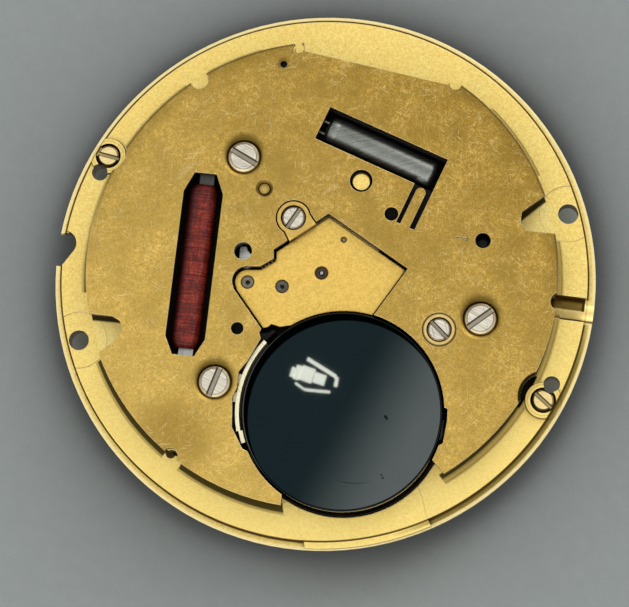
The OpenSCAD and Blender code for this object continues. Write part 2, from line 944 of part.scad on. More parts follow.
module module_carrier() {
    color("#1d1d1f")
        difference() {
            translate([0, 0, carrier_base])
                linear_extrude(carrier_z - carrier_base)
                    difference() {
                        cavity(0.06);
                        translate(cell)
                            circle(r = cell_r + 0.3);
                        polygon(bay_bottom());
                        bridge_outline(0.25);
                        boss_outline(0.2);
                        for (w = [[hub, 2.0], [third_at, 2.0], [inter_at, 1.75], [rotor_at, 0.95]])
                            translate(w[0])
                                circle(r = w[1]);
                        coil_slot_outline(0.1);
                        for (p = concat([cover_screw_at[2], contact_screw_at]))
                            translate(p)
                                circle(r = pillar_r + gap);
                        for (k = [0, 1])
                            translate(cover_screw_at[k])
                                circle(r = shank_r + play);
                        for (p = bridge_steady_at)
                            translate(p)
                                circle(r = 0.36);
                        translate(sight_post_at)
                            circle(r = 0.5);
                        translate(dimple_post_at)
                            circle(r = 0.33);
                        translate(rotor_window_at)
                            circle(r = 0.5);
                        translate(release_at)
                            circle(r = 0.45);
                        translate(chip_at)
                            square([1.9, 1.9], center = true);
                        translate([cell.x + 5.6, cell.y])
                            bar(0.4, 1.2);
                    }
            cell_arc(cell_r, plus_tab_r + 0.05, carrier_z - 0.09, carrier_z + cut, 148, 162);
            translate([0, 0, carrier_base - cut])
                linear_extrude(core_z[1] - carrier_base + cut)
                    core_outline(gap);
            translate([0, 0, carrier_base - cut])
                linear_extrude(stator_z[1] - carrier_base + cut + 0.02)
                    translate(coil_at)
                        rotate(coil_turn)
                            translate([0.92, -6.4])
                                square([2.75, 12.7]);
            translate([can_mid.x, can_mid.y, can_z])
                rotate([0, 90, can_turn])
                    cylinder(r = can_r + gap, h = can_l + 2.0, center = true);
            translate([can_mid.x, can_mid.y, can_z])
                rotate(can_turn)
                    translate([-can_l / 2 - 1.0, -can_r - gap, 0])
                        cube([can_l + 2.0, 2 * (can_r + gap), 1]);
        }
}

chip_at = [7.79, 4.78];

module circuit_board() {
    color("#20352a")
        translate([0, 0, board_z])
            linear_extrude(board_t)
                difference() {
                    plate_outline(0.35);
                    tongues(0.3);
                    bridge_outline(0.18);
                    bay_corner(0.18);
                    boss_outline(0.12);
                    coil_slot_outline(0.04);
                    can_slot_outline(0.03);
                    for (p = cover_screw_at)
                        translate(p)
                            circle(r = shank_r + play);
                    translate(contact_screw_at)
                        circle(r = boss_r + gap);
                    translate(sight_post_at)
                        circle(r = 0.5);
                    translate(dimple_post_at)
                        circle(r = 0.33);
                    translate(rotor_window_at)
                        circle(r = 0.46);
                    translate(release_at)
                        circle(r = 0.42);
                    for (h = [plain_holes[0], plain_holes[1]])
                        translate([h.x, h.y])
                            circle(r = h.z + 0.05);
                }
}

module circuit_chip() {
    color("#101012")
        translate([chip_at.x, chip_at.y, board_z - 0.25])
            cube([1.6, 1.6, 0.5], center = true);
}

module quartz_crystal() {
    color("#8b8f90")
        translate([can_mid.x, can_mid.y, can_z])
            rotate([0, 90, can_turn]) {
                cylinder(r = can_r, h = can_l, center = true);
                translate([0, 0, -can_l / 2 - 0.12])
                    cylinder(r1 = can_r - 0.12, r2 = can_r, h = 0.12);
            }
}

// Two wires from the end of the can up to the board
module quartz_leads() {
    reach = 0.55;
    color("#c9b98a")
        translate([can_mid.x, can_mid.y, 0])
            rotate(can_turn)
                for (s = [-1, 1])
                    translate([-can_l / 2 - 0.12 - reach, s * 0.3, 0]) {
                        translate([0, 0, can_z])
                            rotate([0, 90, 0])
                                cylinder(r = 0.08, h = reach);
                        translate([0, 0, can_z - 0.08])
                            cylinder(r = 0.08, h = board_z - can_z + 0.08);
                    }
}

// Arrow stamped beside the stem release hole
module arrow() {
    depth = 0.03;
    line = 0.05;
    translate([release_at.x - 0.65, release_at.y, top_z - depth]) {
        translate([-0.65, -line / 2, 0])
            cube([0.62, line, 1]);
        for (turn = [146, 214])
            rotate(turn)
                translate([0, -line / 2, 0])
                    cube([0.26, line, 1]);
    }
}

module module_cover() {
    color("#b79a5a")
        difference() {
            translate([0, 0, cover_z])
                linear_extrude(cover_t)
                    difference() {
                        plate_outline(0);
                        tongues(0.06);
                        bridge_outline(0.1);
                        bay_corner(0);
                        boss_outline(0.07);
                        coil_slot_outline(0);
                        difference() {
                            can_slot_outline(0);
                            tongue_outline();
                        }
                        for (h = plain_holes)
                            translate([h.x, h.y])
                                circle(r = h.z);
                        translate(sight_post_at)
                            circle(r = 0.54);
                        translate(dimple_post_at)
                            circle(r = 0.29);
                        translate(rotor_window_at)
                            circle(r = 0.43);
                        translate(release_at)
                            circle(r = 0.37);
                        translate(contact_screw_at)
                            circle(r = boss_r + 0.03);
                        for (p = cover_screw_at)
                            translate(p)
                                circle(r = shank_r + play);
                    }
            for (p = cover_screw_at)
                translate([p.x, p.y, top_z - 0.2])
                    rotate_extrude()
                        polygon([[0, 0], [head_r + 0.04, 0], [head_r + 0.1, 0.1], [head_r + 0.18, 0.16],
                            [head_r + 0.28, 0.19], [head_r + 0.4, 0.2001], [0, 0.2001]]);
            translate([dimple_post_at.x, dimple_post_at.y, top_z - 0.12])
                cylinder(r1 = 0.29, r2 = 0.42, h = 0.1201);
            arrow();
        }
}

module cover_screws() {
    color("#d2d3d5")
        for (k = [0 : 2]) {
            p = cover_screw_at[k];
            base = p.x < 0 ? web_z + 0.08 : 1.2;
            z = top_z - 0.2;
            screw(p, z, head_r, head_h, shank_r, z - base, cover_slot_turn[k]);
        }
}

module bridge_screw() {
    color("#d2d3d5")
        screw(bridge_screw_at, 2.2, boss_head_r, 0.28, shank_r, 1.15, bridge_slot_turn);
}

module contact_screw() {
    color("#d2d3d5")
        screw(contact_screw_at, 2.2, boss_head_r, 0.28, shank_r, 1.05, contact_slot_turn);
}

// Gilt bush that stands through the cover plate round the contact screw
module contact_bush() {
    color("#e3c57c")
        difference() {
            rod(contact_screw_at, boss_r, 1.9, top_z + 0.02);
            rod(contact_screw_at, boss_head_r + 0.04, 2.2, 3);
            rod(contact_screw_at, shank_r + play, 0, 3);
        }
}

// Battery and its contacts

module battery_can() {
    wall = 0.2;
    color("#8f959a")
        translate([cell.x, cell.y, 0])
            rotate_extrude($fn = 128)
                difference() {
                    union() {
                        translate([0, cell_z + 0.06])
                            square([cell_r, cell_h - 0.06 - cell_round]);
                        translate([0, cell_z + 0.06])
                            square([cell_r - cell_round, cell_h - 0.06]);
                        translate([cell_r - cell_round, cell_z + cell_h - cell_round])
                            circle(r = cell_round, $fn = 48);
                        translate([cell_r - cell_round - 1, cell_z + cell_h - cell_round - 1])
                            square([1, 1]);
                    }
                    translate([-1, -1])
                        square([1, 5]);
                    translate([-1, 0])
                        square([1 + cell_r - wall, cell_z + 0.7]);
                }
}

module battery_cap() {
    color("#b7bbbe")
        rod(cell, cell_r - 0.55, cell_z, cell_z + 0.69);
}

module battery_gasket() {
    color("#3d4e8a")
        difference() {
            rod(cell, cell_r - 0.22, cell_z + 0.04, cell_z + 0.69);
            rod(cell, cell_r - 0.54, 0, 3);
        }
}

// Arc of a wall round the battery, between two radii and two angles
module cell_arc(r1, r2, z1, z2, a1, a2) {
    translate([cell.x, cell.y, z1])
        rotate(a1)
            rotate_extrude(angle = a2 - a1, $fn = 128)
                translate([r1, 0])
                    square([r2 - r1, z2 - z1]);
}

module battery_insulator() {
    color("#1b1b1d")
        cell_arc(cell_r + 0.05, cell_r + 0.14, cell_z + 0.01, ring_z, 222, 488);
}

module battery_contact_plus() {
    lip = 2.18;
    color("#dcc27a") {
        cell_arc(cell_r + 0.17, cell_r + 0.26, web_z + 0.01, lip + 0.08, 145, 198);
        cell_arc(cell_r + 0.17, cell_r + 0.36, lip, lip + 0.08, 145, 198);
        cell_arc(cell_r + 0.06, cell_r + 0.26, lip, lip + 0.08, 198, 205);
        cell_arc(cell_r + 0.17, plus_tab_r, carrier_z - 0.08, carrier_z, 150, 160);
        for (a = [167, 177])
            cell_arc(cell_r + 0.3, cell_r + 0.5, lip - 0.07, lip + 0.01, a, a + 5);
    }
}

module battery_contact_minus() {
    leaf = [5.6, 1.0, 0.055];
    color("#dcc27a") {
        translate([cell.x, cell.y - leaf.y / 2, 0.27])
            cube(leaf);
        translate([cell.x + leaf.x, cell.y - leaf.y / 2, 0.27])
            cube([0.1, leaf.y, board_z - 0.27]);
    }
}

// Setting works

module setting_lever() {
    pin = [8.05, 0.38];
    arm = heading(release_at, pin);
    color("#c3c6ca")
        difference() {
            union() {
                rod(release_at, 0.42, lever_z[0], lever_z[1]);
                translate([release_at.x, release_at.y, lever_z[0]])
                    rotate(arm)
                        translate([0, -0.2, 0])
                            cube([norm(pin - release_at), 0.4, lever_z[1] - lever_z[0]]);
                rod(pin, 0.2, lever_z[0], lever_z[1]);
                rod(pin, 0.13, 0.5, lever_z[1]);
            }
            rod(release_at, 0.22 + play, 0, 2);
        }
}

module release_pin() {
    color("#c3c6ca") {
        rod(release_at, 0.22, 0.6, 1.3);
        rod(release_at, 0.32, 1.2, 1.32);
        rod(release_at, 0.2, 1.3, 1.72);
    }
}

module yoke() {
    tip = [7.01, 0.52];
    arm = heading(yoke_at, tip);
    color("#c3c6ca") {
        rod(yoke_at, 0.32, lever_z[0], lever_z[1]);
        rod(yoke_at, 0.12, 0.45, lever_z[1]);
        translate([yoke_at.x, yoke_at.y, lever_z[0]])
            rotate(arm)
                translate([0, -0.15, 0])
                    cube([norm(tip - yoke_at), 0.3, lever_z[1] - lever_z[0]]);
        translate([6.93, 0.4, lever_z[0]])
            cube([0.16, 0.4, lever_z[1] - lever_z[0]]);
    }
}

// Sleeve on the stem, with a groove for the yoke and crown teeth for the setting wheel
module sliding_pinion() {
    r = 0.47;
    x = [6.55, 6.72, 6.9, 7.12, 7.45];
    color("#d0d2d5")
        difference() {
            translate([0, 0, stem_z])
                rotate([0, 90, 0]) {
                    translate([0, 0, x[0]])
                        linear_extrude(x[1] - x[0])
                            for (a = [0 : 45 : 315])
                                rotate(a)
                                    translate([0.28, -0.06])
                                        square([r - 0.29, 0.12]);
                    translate([0, 0, x[1]])
                        cylinder(r = r, h = x[2] - x[1]);
                    translate([0, 0, x[1]])
                        cylinder(r = 0.33, h = x[4] - x[1]);
                    translate([0, 0, x[3]])
                        cylinder(r = r, h = x[4] - x[3]);
                }
            translate([6, 0, stem_z])
                rotate([0, 90, 0])
                    cylinder(r = 0.22, h = 2);
        }
}

// Dial foot screws, with a flat that frees the foot

module foot_screw(k) {
    p = around(foot_at, foot_screw_angles[k]);
    foot = around(foot_at, foot_angles[k]);
    color("#dfc27a")
        difference() {
            screw(p, 0.82, foot_screw_r, 0.36, shank_r, 0.45, [-8, -36][k]);
            translate([p.x, p.y, 0.8])
                rotate(heading(p, foot))
                    translate([0.4, -1, 0])
                        cube([1, 2, 1]);
        }
}

module dial_foot_screw_left() {
    foot_screw(0);
}

module dial_foot_screw_right() {
    foot_screw(1);
}

main_plate();
calendar_plate();
calendar_screws();
date_ring();
date_jumper();
hour_wheel();
cannon_pinion();
minute_wheel();
minute_pinion();
setting_wheel();
date_idler();
date_wheel();
rotor_magnet();
rotor_pinion();
intermediate_wheel();
intermediate_pinion();
seconds_wheel();
seconds_pinion();
third_wheel();
third_pinion();
centre_wheel();
centre_pipe();
train_bridge();
bearing_jewels();
stator();
coil_core();
coil_winding();
module_carrier();
circuit_board();
circuit_chip();
quartz_crystal();
quartz_leads();
module_cover();
cover_screws();
bridge_screw();
contact_screw();
contact_bush();
battery_can();
battery_cap();
battery_gasket();
battery_insulator();
battery_contact_plus();
battery_contact_minus();
setting_lever();
release_pin();
yoke();
sliding_pinion();
dial_foot_screw_left();
dial_foot_screw_right();
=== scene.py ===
import json
import math
import random

import bmesh
import bpy
from mathutils import Matrix, Vector


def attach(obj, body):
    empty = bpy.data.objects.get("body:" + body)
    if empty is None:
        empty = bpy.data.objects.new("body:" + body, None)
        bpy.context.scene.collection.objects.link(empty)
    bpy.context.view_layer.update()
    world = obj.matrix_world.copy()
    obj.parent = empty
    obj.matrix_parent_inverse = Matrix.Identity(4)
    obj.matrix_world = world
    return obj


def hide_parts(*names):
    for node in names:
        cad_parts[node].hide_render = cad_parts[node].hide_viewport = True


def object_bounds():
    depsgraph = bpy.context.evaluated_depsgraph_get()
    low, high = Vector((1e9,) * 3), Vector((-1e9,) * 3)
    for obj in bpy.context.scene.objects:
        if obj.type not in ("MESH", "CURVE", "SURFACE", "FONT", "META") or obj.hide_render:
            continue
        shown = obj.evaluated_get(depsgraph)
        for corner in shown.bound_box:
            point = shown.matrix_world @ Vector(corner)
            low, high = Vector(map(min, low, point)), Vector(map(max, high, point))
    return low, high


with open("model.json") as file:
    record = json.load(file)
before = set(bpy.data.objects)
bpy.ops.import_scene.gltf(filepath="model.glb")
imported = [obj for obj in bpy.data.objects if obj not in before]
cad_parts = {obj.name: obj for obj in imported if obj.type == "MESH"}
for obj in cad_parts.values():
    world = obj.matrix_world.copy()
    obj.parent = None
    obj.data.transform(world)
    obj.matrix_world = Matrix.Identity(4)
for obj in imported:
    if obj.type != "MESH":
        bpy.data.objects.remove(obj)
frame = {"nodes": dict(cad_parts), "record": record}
cad_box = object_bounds()

MM = 0.001


# Sizes and places, as in the part's source, in millimetres

def on_circle(radius, angle):
    return radius * math.cos(math.radians(angle)), radius * math.sin(math.radians(angle))


FLANGE_R, RING_R, LAND_Z = 13.0, 12.6, 1.0
COVER_R, HOLLOW_R = 11.2, 10.45
# The ears round the clamp holes, the shallow pads in them, and the moats round the dial foot screws
EAR_R, PAD_R, MOAT_R = 2.6, 1.36, 1.22
CLAMPS = [on_circle(12.08, angle) for angle in (22, 202)]
FOOT_SCREWS = [on_circle(12.03, angle) for angle in (157.8, -22.2)]
# The dial foot holes beside those screws
FOOT_HOLES = [(-11.441, 3.718), (11.441, -3.718)]
STEM_SLOT_W = 1.16
# Painted shade on the top of the release pin, as it is seen through its hole: place and radius
RELEASE_SPOT = (7.39, 2.56, 0.36)
JEWELS = ((-3.43, -0.88), (-1.77, -0.88), (0.0, 0.0))
SIGHT_POST, DIMPLE_POST = (1.29, 4.58), (-3.24, 3.64)
COVER_SCREWS = ((-4.44, 5.05), (-4.26, -5.85), (7.75, -1.27))
# Slotted heads: place, radius and direction of the slot
COVER_HEADS = [(*at, 0.73, turn) for at, turn in zip(COVER_SCREWS, (-24, 76, 43))]
CONTACT_HEAD, BRIDGE_HEAD = (5.9, -2.04, 0.56, -39), (-1.66, 2.41, 0.56, 63)
# The opening of the gilt bush round the contact screw
BUSH_R = 0.76
FOOT_HEADS = [(*at, 0.52, turn) for at, turn in zip(FOOT_SCREWS, (-8, -36))]
CELL = (1.9, -6.46)
CELL_R, CELL_H, CELL_Z, CELL_ROUND = 4.7, 2.05, 0.33, 0.16
CELL_TOP = CELL_Z + CELL_H
# The cell's crimped underside: steps in from its radius, and heights over its lowest point
CELL_CRIMP = ((0, 0.3), (0.04, 0.1), (0.1, 0.06), (0.2, 0.06), (0.2, 0.7), (CELL_R, 0.7))
COIL_AT, COIL_TURN = (-6.02, -0.39), 1.35
COIL_W, COIL_L, COIL_LOW, COIL_HIGH = 1.3, 7.95, 1.0, 2.06
CAN_MID, CAN_TURN, CAN_Z, CAN_R, CAN_L = (2.03, 6.23), -17.55, 1.48, 0.74, 5.5
# The crystal's crimped end with its glass plug: steps in from its radius, and distances from the end
CAN_CRIMP = ((0, 0.5), (0.012, 0.47), (0.012, 0.44), (0, 0.41), (0, 0.06), (0.05, 0), (0.14, 0), (0.16, -0.12),
             (CAN_R, -0.12))
DATE_PHASE = 135 - 360 / 31 * 12
DATE_FACE = 0.08

# Places where the photograph's light shows something, in millimetres

# The cover's straight edge at twelve o'clock: the direction towards it, and its distance
CHORD_TOWARDS, CHORD_AWAY = (0.136, 0.991, 0.0), 10.05
# The ends of the cover beside the battery: a point on each and the direction into the cover
COVER_ENDS = ((7.015, -8.971, 42.9), (-0.338, -11.191, 193.9))
# Walls of the ear cuts with painted shade beside them: a point, the direction away from the wall, and the width of
# the shade
EAR_WALLS = ((9.45, 4.763, -44.3, 0.31), (-10.3, -3.16, -88.4, 0.33), (-9.38, -3.25, 237, 0.10),
             (8.93, 4.25, 0, 0.10))
# Lower flanks of the ear cuts: a point on each, and the direction away from the ear
EAR_FLANKS = ((9.309, 3.224, -91), (-9.096, -4.29, -43))
# Notches of the cover that show the ring's ground
NOTCHES, NOTCH_R = ((-7.38, 8.864), (-2.759, 11.072)), 0.62
# The plate's tongue beside the cover, and the two holes next to it: place and radius
TONGUE, TONGUE_R = (-5.92, -9.70), 0.46
TONGUE_HOLES = ((-5.997, -9.339, 0.24), (-5.72, -9.28, 0.15))
# A faint dimple of the cover, a dull patch of it, and the hole in it that shows the stator
FAINT_DIMPLE = (-3.233, 9.822)
DULL_PATCH = (-5.85, -8.6)
STATOR_HOLE = (-3.781, 0.537)
# The bright part of the cell's top lies off its centre, because its rolled edge has a painted dark reflection
CELL_FACE, CELL_FACE_R = (2.10, -6.723), 4.60
# A scratched arc on the cell, and specks: place and radius
CELL_ARC = (2.62, -6.7, 3.035)
CELL_SPECKS = ((3.95, -6.43, 0.07), (4.02, -6.52, 0.06), (4.13, -9.17, 0.04), (4.21, -9.30, 0.045))
# A height below the whole part
UNDER_ALL = -9.0
# Places of the plate that lie open to the light although a wall is near: place, radius, how open, and from where up
OPEN_PLACES = [(SIGHT_POST, 0.5, 1.0, 2.0), (FAINT_DIMPLE, 0.34, 0.45, UNDER_ALL)]
OPEN_PLACES += [(at, EAR_R, 1.0, UNDER_ALL) for at in CLAMPS] + [(at, NOTCH_R, 1.0, UNDER_ALL) for at in NOTCHES]


# Camera. The photograph's measures are in its own pixels

PHOTO_W, PHOTO_H = 629, 607
FOCAL_PX = 2706.6
PRINCIPAL_PX = (323.9, 279.5)
SENSOR = 36.0
# Turn of the part's X axis below the picture's right-hand direction
PHOTO_TURN = math.radians(7.65)
# The camera stands off the square view by this angle, towards this direction of the picture (right, down)
TILT = math.radians(10.9)
TILT_TOWARDS = Vector((0.344, 0.939)).normalized()
CAMERA_AWAY = 130 * MM
CAMERA_AIM_Z = 0.35 * MM
# The same place in millimetres: along the picture's right and down, and its height over the part
STAND, STAND_HEIGHT = (8.46, 23.1), 127.6


def to_part(right, down, up):
    """A vector given along the picture's right, the picture's down and up to the viewer, in the part's axes."""
    c, s = math.cos(PHOTO_TURN), math.sin(PHOTO_TURN)
    return Vector((right * c + down * s, right * s - down * c, up))


def camera_pose():
    """The camera's right, down, look and place, along the picture's right, down and up."""
    s, c = math.sin(TILT), math.cos(TILT)
    d = TILT_TOWARDS
    across = Vector((-d.y, d.x, 0))
    ahead = Vector((c * d.x, c * d.y, -s))
    right = across * -d.y + ahead * d.x
    down = across * d.x + ahead * d.y
    look = Vector((-s * d.x, -s * d.y, -c))
    return right, down, look, -look * CAMERA_AWAY + Vector((0, 0, CAMERA_AIM_Z))


def make_camera():
    """The photograph's camera, from its pose, focal length and principal point."""
    right, down, look, place = camera_pose()
    axes = [to_part(*v) for v in (right, -down, -look)]
    data = bpy.data.cameras.new("camera")
    data.sensor_width = SENSOR
    data.lens = FOCAL_PX / PHOTO_W * SENSOR
    data.shift_x = (PHOTO_W / 2 - PRINCIPAL_PX[0]) / PHOTO_W
    data.shift_y = (PRINCIPAL_PX[1] - PHOTO_H / 2) / PHOTO_W
    data.clip_start = 0.001
    data.clip_end = 10
    camera = bpy.data.objects.new("camera", data)
    bpy.context.scene.collection.objects.link(camera)
    camera.matrix_world = Matrix.Translation(to_part(*place)) @ Matrix(axes).transposed().to_4x4()
    bpy.context.scene.camera = camera


# Nodes

class Nodes:
    """Short calls that add nodes to a tree. What they take is an output of another node, or a plain value."""

    def __init__(self, tree):
        self.tree = tree
        tree.nodes.clear()

    def add(self, kind, **settings):
        node = self.tree.nodes.new(kind)
        for key, value in settings.items():
            setattr(node, key, value)
        return node

    def put(self, socket, value):
        """Links an output to a socket, or sets the socket's value."""
        if isinstance(value, bpy.types.NodeSocket):
            self.tree.links.new(value, socket)
        else:
            socket.default_value = value

    def vector(self, operation, a, b=None, scale=None):
        node = self.add("ShaderNodeVectorMath", operation=operation)
        self.put(node.inputs[0], a)
        if b is not None:
            self.put(node.inputs[1], b)
        if scale is not None:
            node.inputs["Scale"].default_value = scale
        return node.outputs["Value" if operation in ("DOT_PRODUCT", "LENGTH") else "Vector"]

    def math(self, operation, a, b=0.0):
        node = self.add("ShaderNodeMath", operation=operation)
        self.put(node.inputs[0], a)
        self.put(node.inputs[1], b)
        return node.outputs[0]

    def every(self, *masks):
        """The product of the masks: 1 only where each of them is 1."""
        total = masks[0]
        for mask in masks[1:]:
            total = self.math("MULTIPLY", total, mask)
        return total

    def most(self, *masks):
        """The highest of the masks."""
        total = masks[0]
        for mask in masks[1:]:
            total = self.math("MAXIMUM", total, mask)
        return total

    def span(self, value, low, high, to_low=0.0, to_high=1.0, smooth=False):
        """value taken from low..high to to_low..to_high, and held there outside."""
        node = self.add("ShaderNodeMapRange")
        if smooth:
            node.interpolation_type = "SMOOTHSTEP"
        for socket, x in zip(node.inputs[:5], (value, low, high, to_low, to_high)):
            self.put(socket, x)
        return node.outputs[0]


# Light. Directions are along the picture's right, the picture's down and up to the viewer

LAMP_AWAY = 0.5
# Soft lamps: name, direction, width, height and radiance
LAMPS = (("key", (0.42, -0.74, 0.52), 0.30, 0.22, 4.4), ("fill", (-0.20, 0.76, 0.60), 0.40, 0.30, 1.6))
# Bare lamps that show in the battery: picture points of their ends, and their width there in pixels
STRIPS = (("pane_left", (290.2, 371), (294, 372), 10), ("pane_near", (294.2, 371), (300, 373), 15),
          ("pane_mid", (300.2, 371.6), (313, 376.2), 15.5), ("pane_right", (313.3, 376.6), (325, 380.4), 11),
          ("pane_edge", (307, 358), (336, 376.2), 3.8), ("pane_end", (337.2, 376.5), (335.4, 386.5), 3.6),
          ("pane_low", (294.5, 382.5), (303, 388.6), 2.4), ("pane_foot", (303.4, 389.2), (330, 392), 2.8))
STRIP_RADIANCE, STRIP_COLOUR = 1.15, (1.0, 0.92, 0.80)
# Brightness of the surround, over the part and under it
SKY, SKY_BELOW = 0.89, 0.4
# Direction straight above the battery's mirror (right, down), where the studio is dark, and how far that reaches
DARK_AT = (-0.058, -0.128)
DARK_EDGE = (0.085, 0.15)
# The dark place's least and greatest red, green and blue, and the slope (right, down) from the one to the other
DARK_COLOURS = ((0.016, 0.162), (0.027, 0.168), (0.031, 0.165))
DARK_SLOPE, DARK_SPAN = (30.0, 17.0), (-0.12, 1.05)


def area_lamp(name, width, height, radiance):
    data = bpy.data.lights.new(name, "AREA")
    data.shape = "RECTANGLE"
    data.size, data.size_y = width, height
    data.energy = radiance * math.pi * width * height
    lamp = bpy.data.objects.new(name, data)
    bpy.context.scene.collection.objects.link(lamp)
    return lamp


def add_lamp(name, direction, width, height, radiance):
    """A soft lamp that faces the part from LAMP_AWAY in that direction."""
    lamp = area_lamp(name, width, height, radiance)
    way = to_part(*direction).normalized()
    lamp.location = way * LAMP_AWAY
    lamp.rotation_mode = "QUATERNION"
    lamp.rotation_quaternion = way.to_track_quat("Z", "Y")


def seen_in_battery(u, v):
    """The place in the studio, LAMP_AWAY from the part, that shows at a picture point in the battery's level top."""
    right, down, look, place = camera_pose()
    ray = look * FOCAL_PX + right * (u - PRINCIPAL_PX[0]) + down * (v - PRINCIPAL_PX[1])
    hit = place + ray * ((CELL_TOP * MM - place.z) / ray.z)
    away = Vector((ray.x, ray.y, -ray.z)).normalized()
    return hit, hit + away * LAMP_AWAY


def add_strip(name, start, end, width):
    """A small bare lamp whose image in the battery runs from one picture point to another, width pixels wide."""
    (hit, a), (_, b) = seen_in_battery(*start), seen_in_battery(*end)
    length = (b - a).length
    lamp = area_lamp(name, length, width * length / math.dist(start, end), STRIP_RADIANCE)
    lamp.data.color = STRIP_COLOUR
    middle = (a + b) / 2
    back = to_part(*(middle - hit)).normalized()
    side = to_part(*(b - a)).normalized()
    up = back.cross(side).normalized()
    lamp.matrix_world = Matrix.Translation(to_part(*middle)) @ Matrix((side, up, back)).transposed().to_4x4()


def make_sky():
    """An even soft surround, with a dark place overhead that the battery shows."""
    world = bpy.data.worlds.new("studio")
    bpy.context.scene.world = world
    world.use_nodes = True
    n = Nodes(world.node_tree)
    way = n.add("ShaderNodeTexCoord").outputs["Generated"]
    right = n.math("SUBTRACT", n.vector("DOT_PRODUCT", way, to_part(1, 0, 0)), DARK_AT[0])
    down = n.math("SUBTRACT", n.vector("DOT_PRODUCT", way, to_part(0, 1, 0)), DARK_AT[1])
    up = n.vector("DOT_PRODUCT", way, (0, 0, 1))
    off = n.math("POWER", n.math("ADD", n.math("MULTIPLY", right, right), n.math("MULTIPLY", down, down)), 0.5)
    slope = n.math("ADD", n.math("MULTIPLY", right, DARK_SLOPE[0]), n.math("MULTIPLY", down, DARK_SLOPE[1]))
    around = n.span(off, *DARK_EDGE, smooth=True)
    dome = n.every(n.span(down, -0.6, 0.6, 0.72, 1.28, smooth=True), n.span(right, -0.6, 0.6, 1.12, 1.0, smooth=True),
                   n.span(up, 0.0, 0.5, 0.75, 1.0, smooth=True), SKY)
    above = n.math("GREATER_THAN", up, 0.0)
    under = n.math("MULTIPLY", n.math("SUBTRACT", 1.0, above), SKY_BELOW)
    colour = n.add("ShaderNodeCombineColor")
    for socket, (least, greatest) in zip(colour.inputs, DARK_COLOURS):
        dark = n.span(slope, *DARK_SPAN, least, greatest, smooth=True)
        mixed = n.math("ADD", dark, n.math("MULTIPLY", around, n.math("SUBTRACT", dome, dark)))
        n.put(socket, n.math("ADD", n.math("MULTIPLY", mixed, above), under))
    sky = n.add("ShaderNodeBackground")
    n.put(sky.inputs["Color"], colour.outputs[0])
    n.put(n.add("ShaderNodeOutputWorld").inputs["Surface"], sky.outputs[0])


def make_light():
    """Plain studio light: the surround, a soft key at the picture's top, a weak fill, and what the battery shows."""
    for lamp in LAMPS:
        add_lamp(*lamp)
    for strip in STRIPS:
        add_strip(*strip)
    make_sky()


# Materials. Colours are linear red, green and blue, and lengths are millimetres

# The finished materials, by the name of their slot
finishes = {}


def times(colour, factor):
    return tuple(v * factor for v in colour)


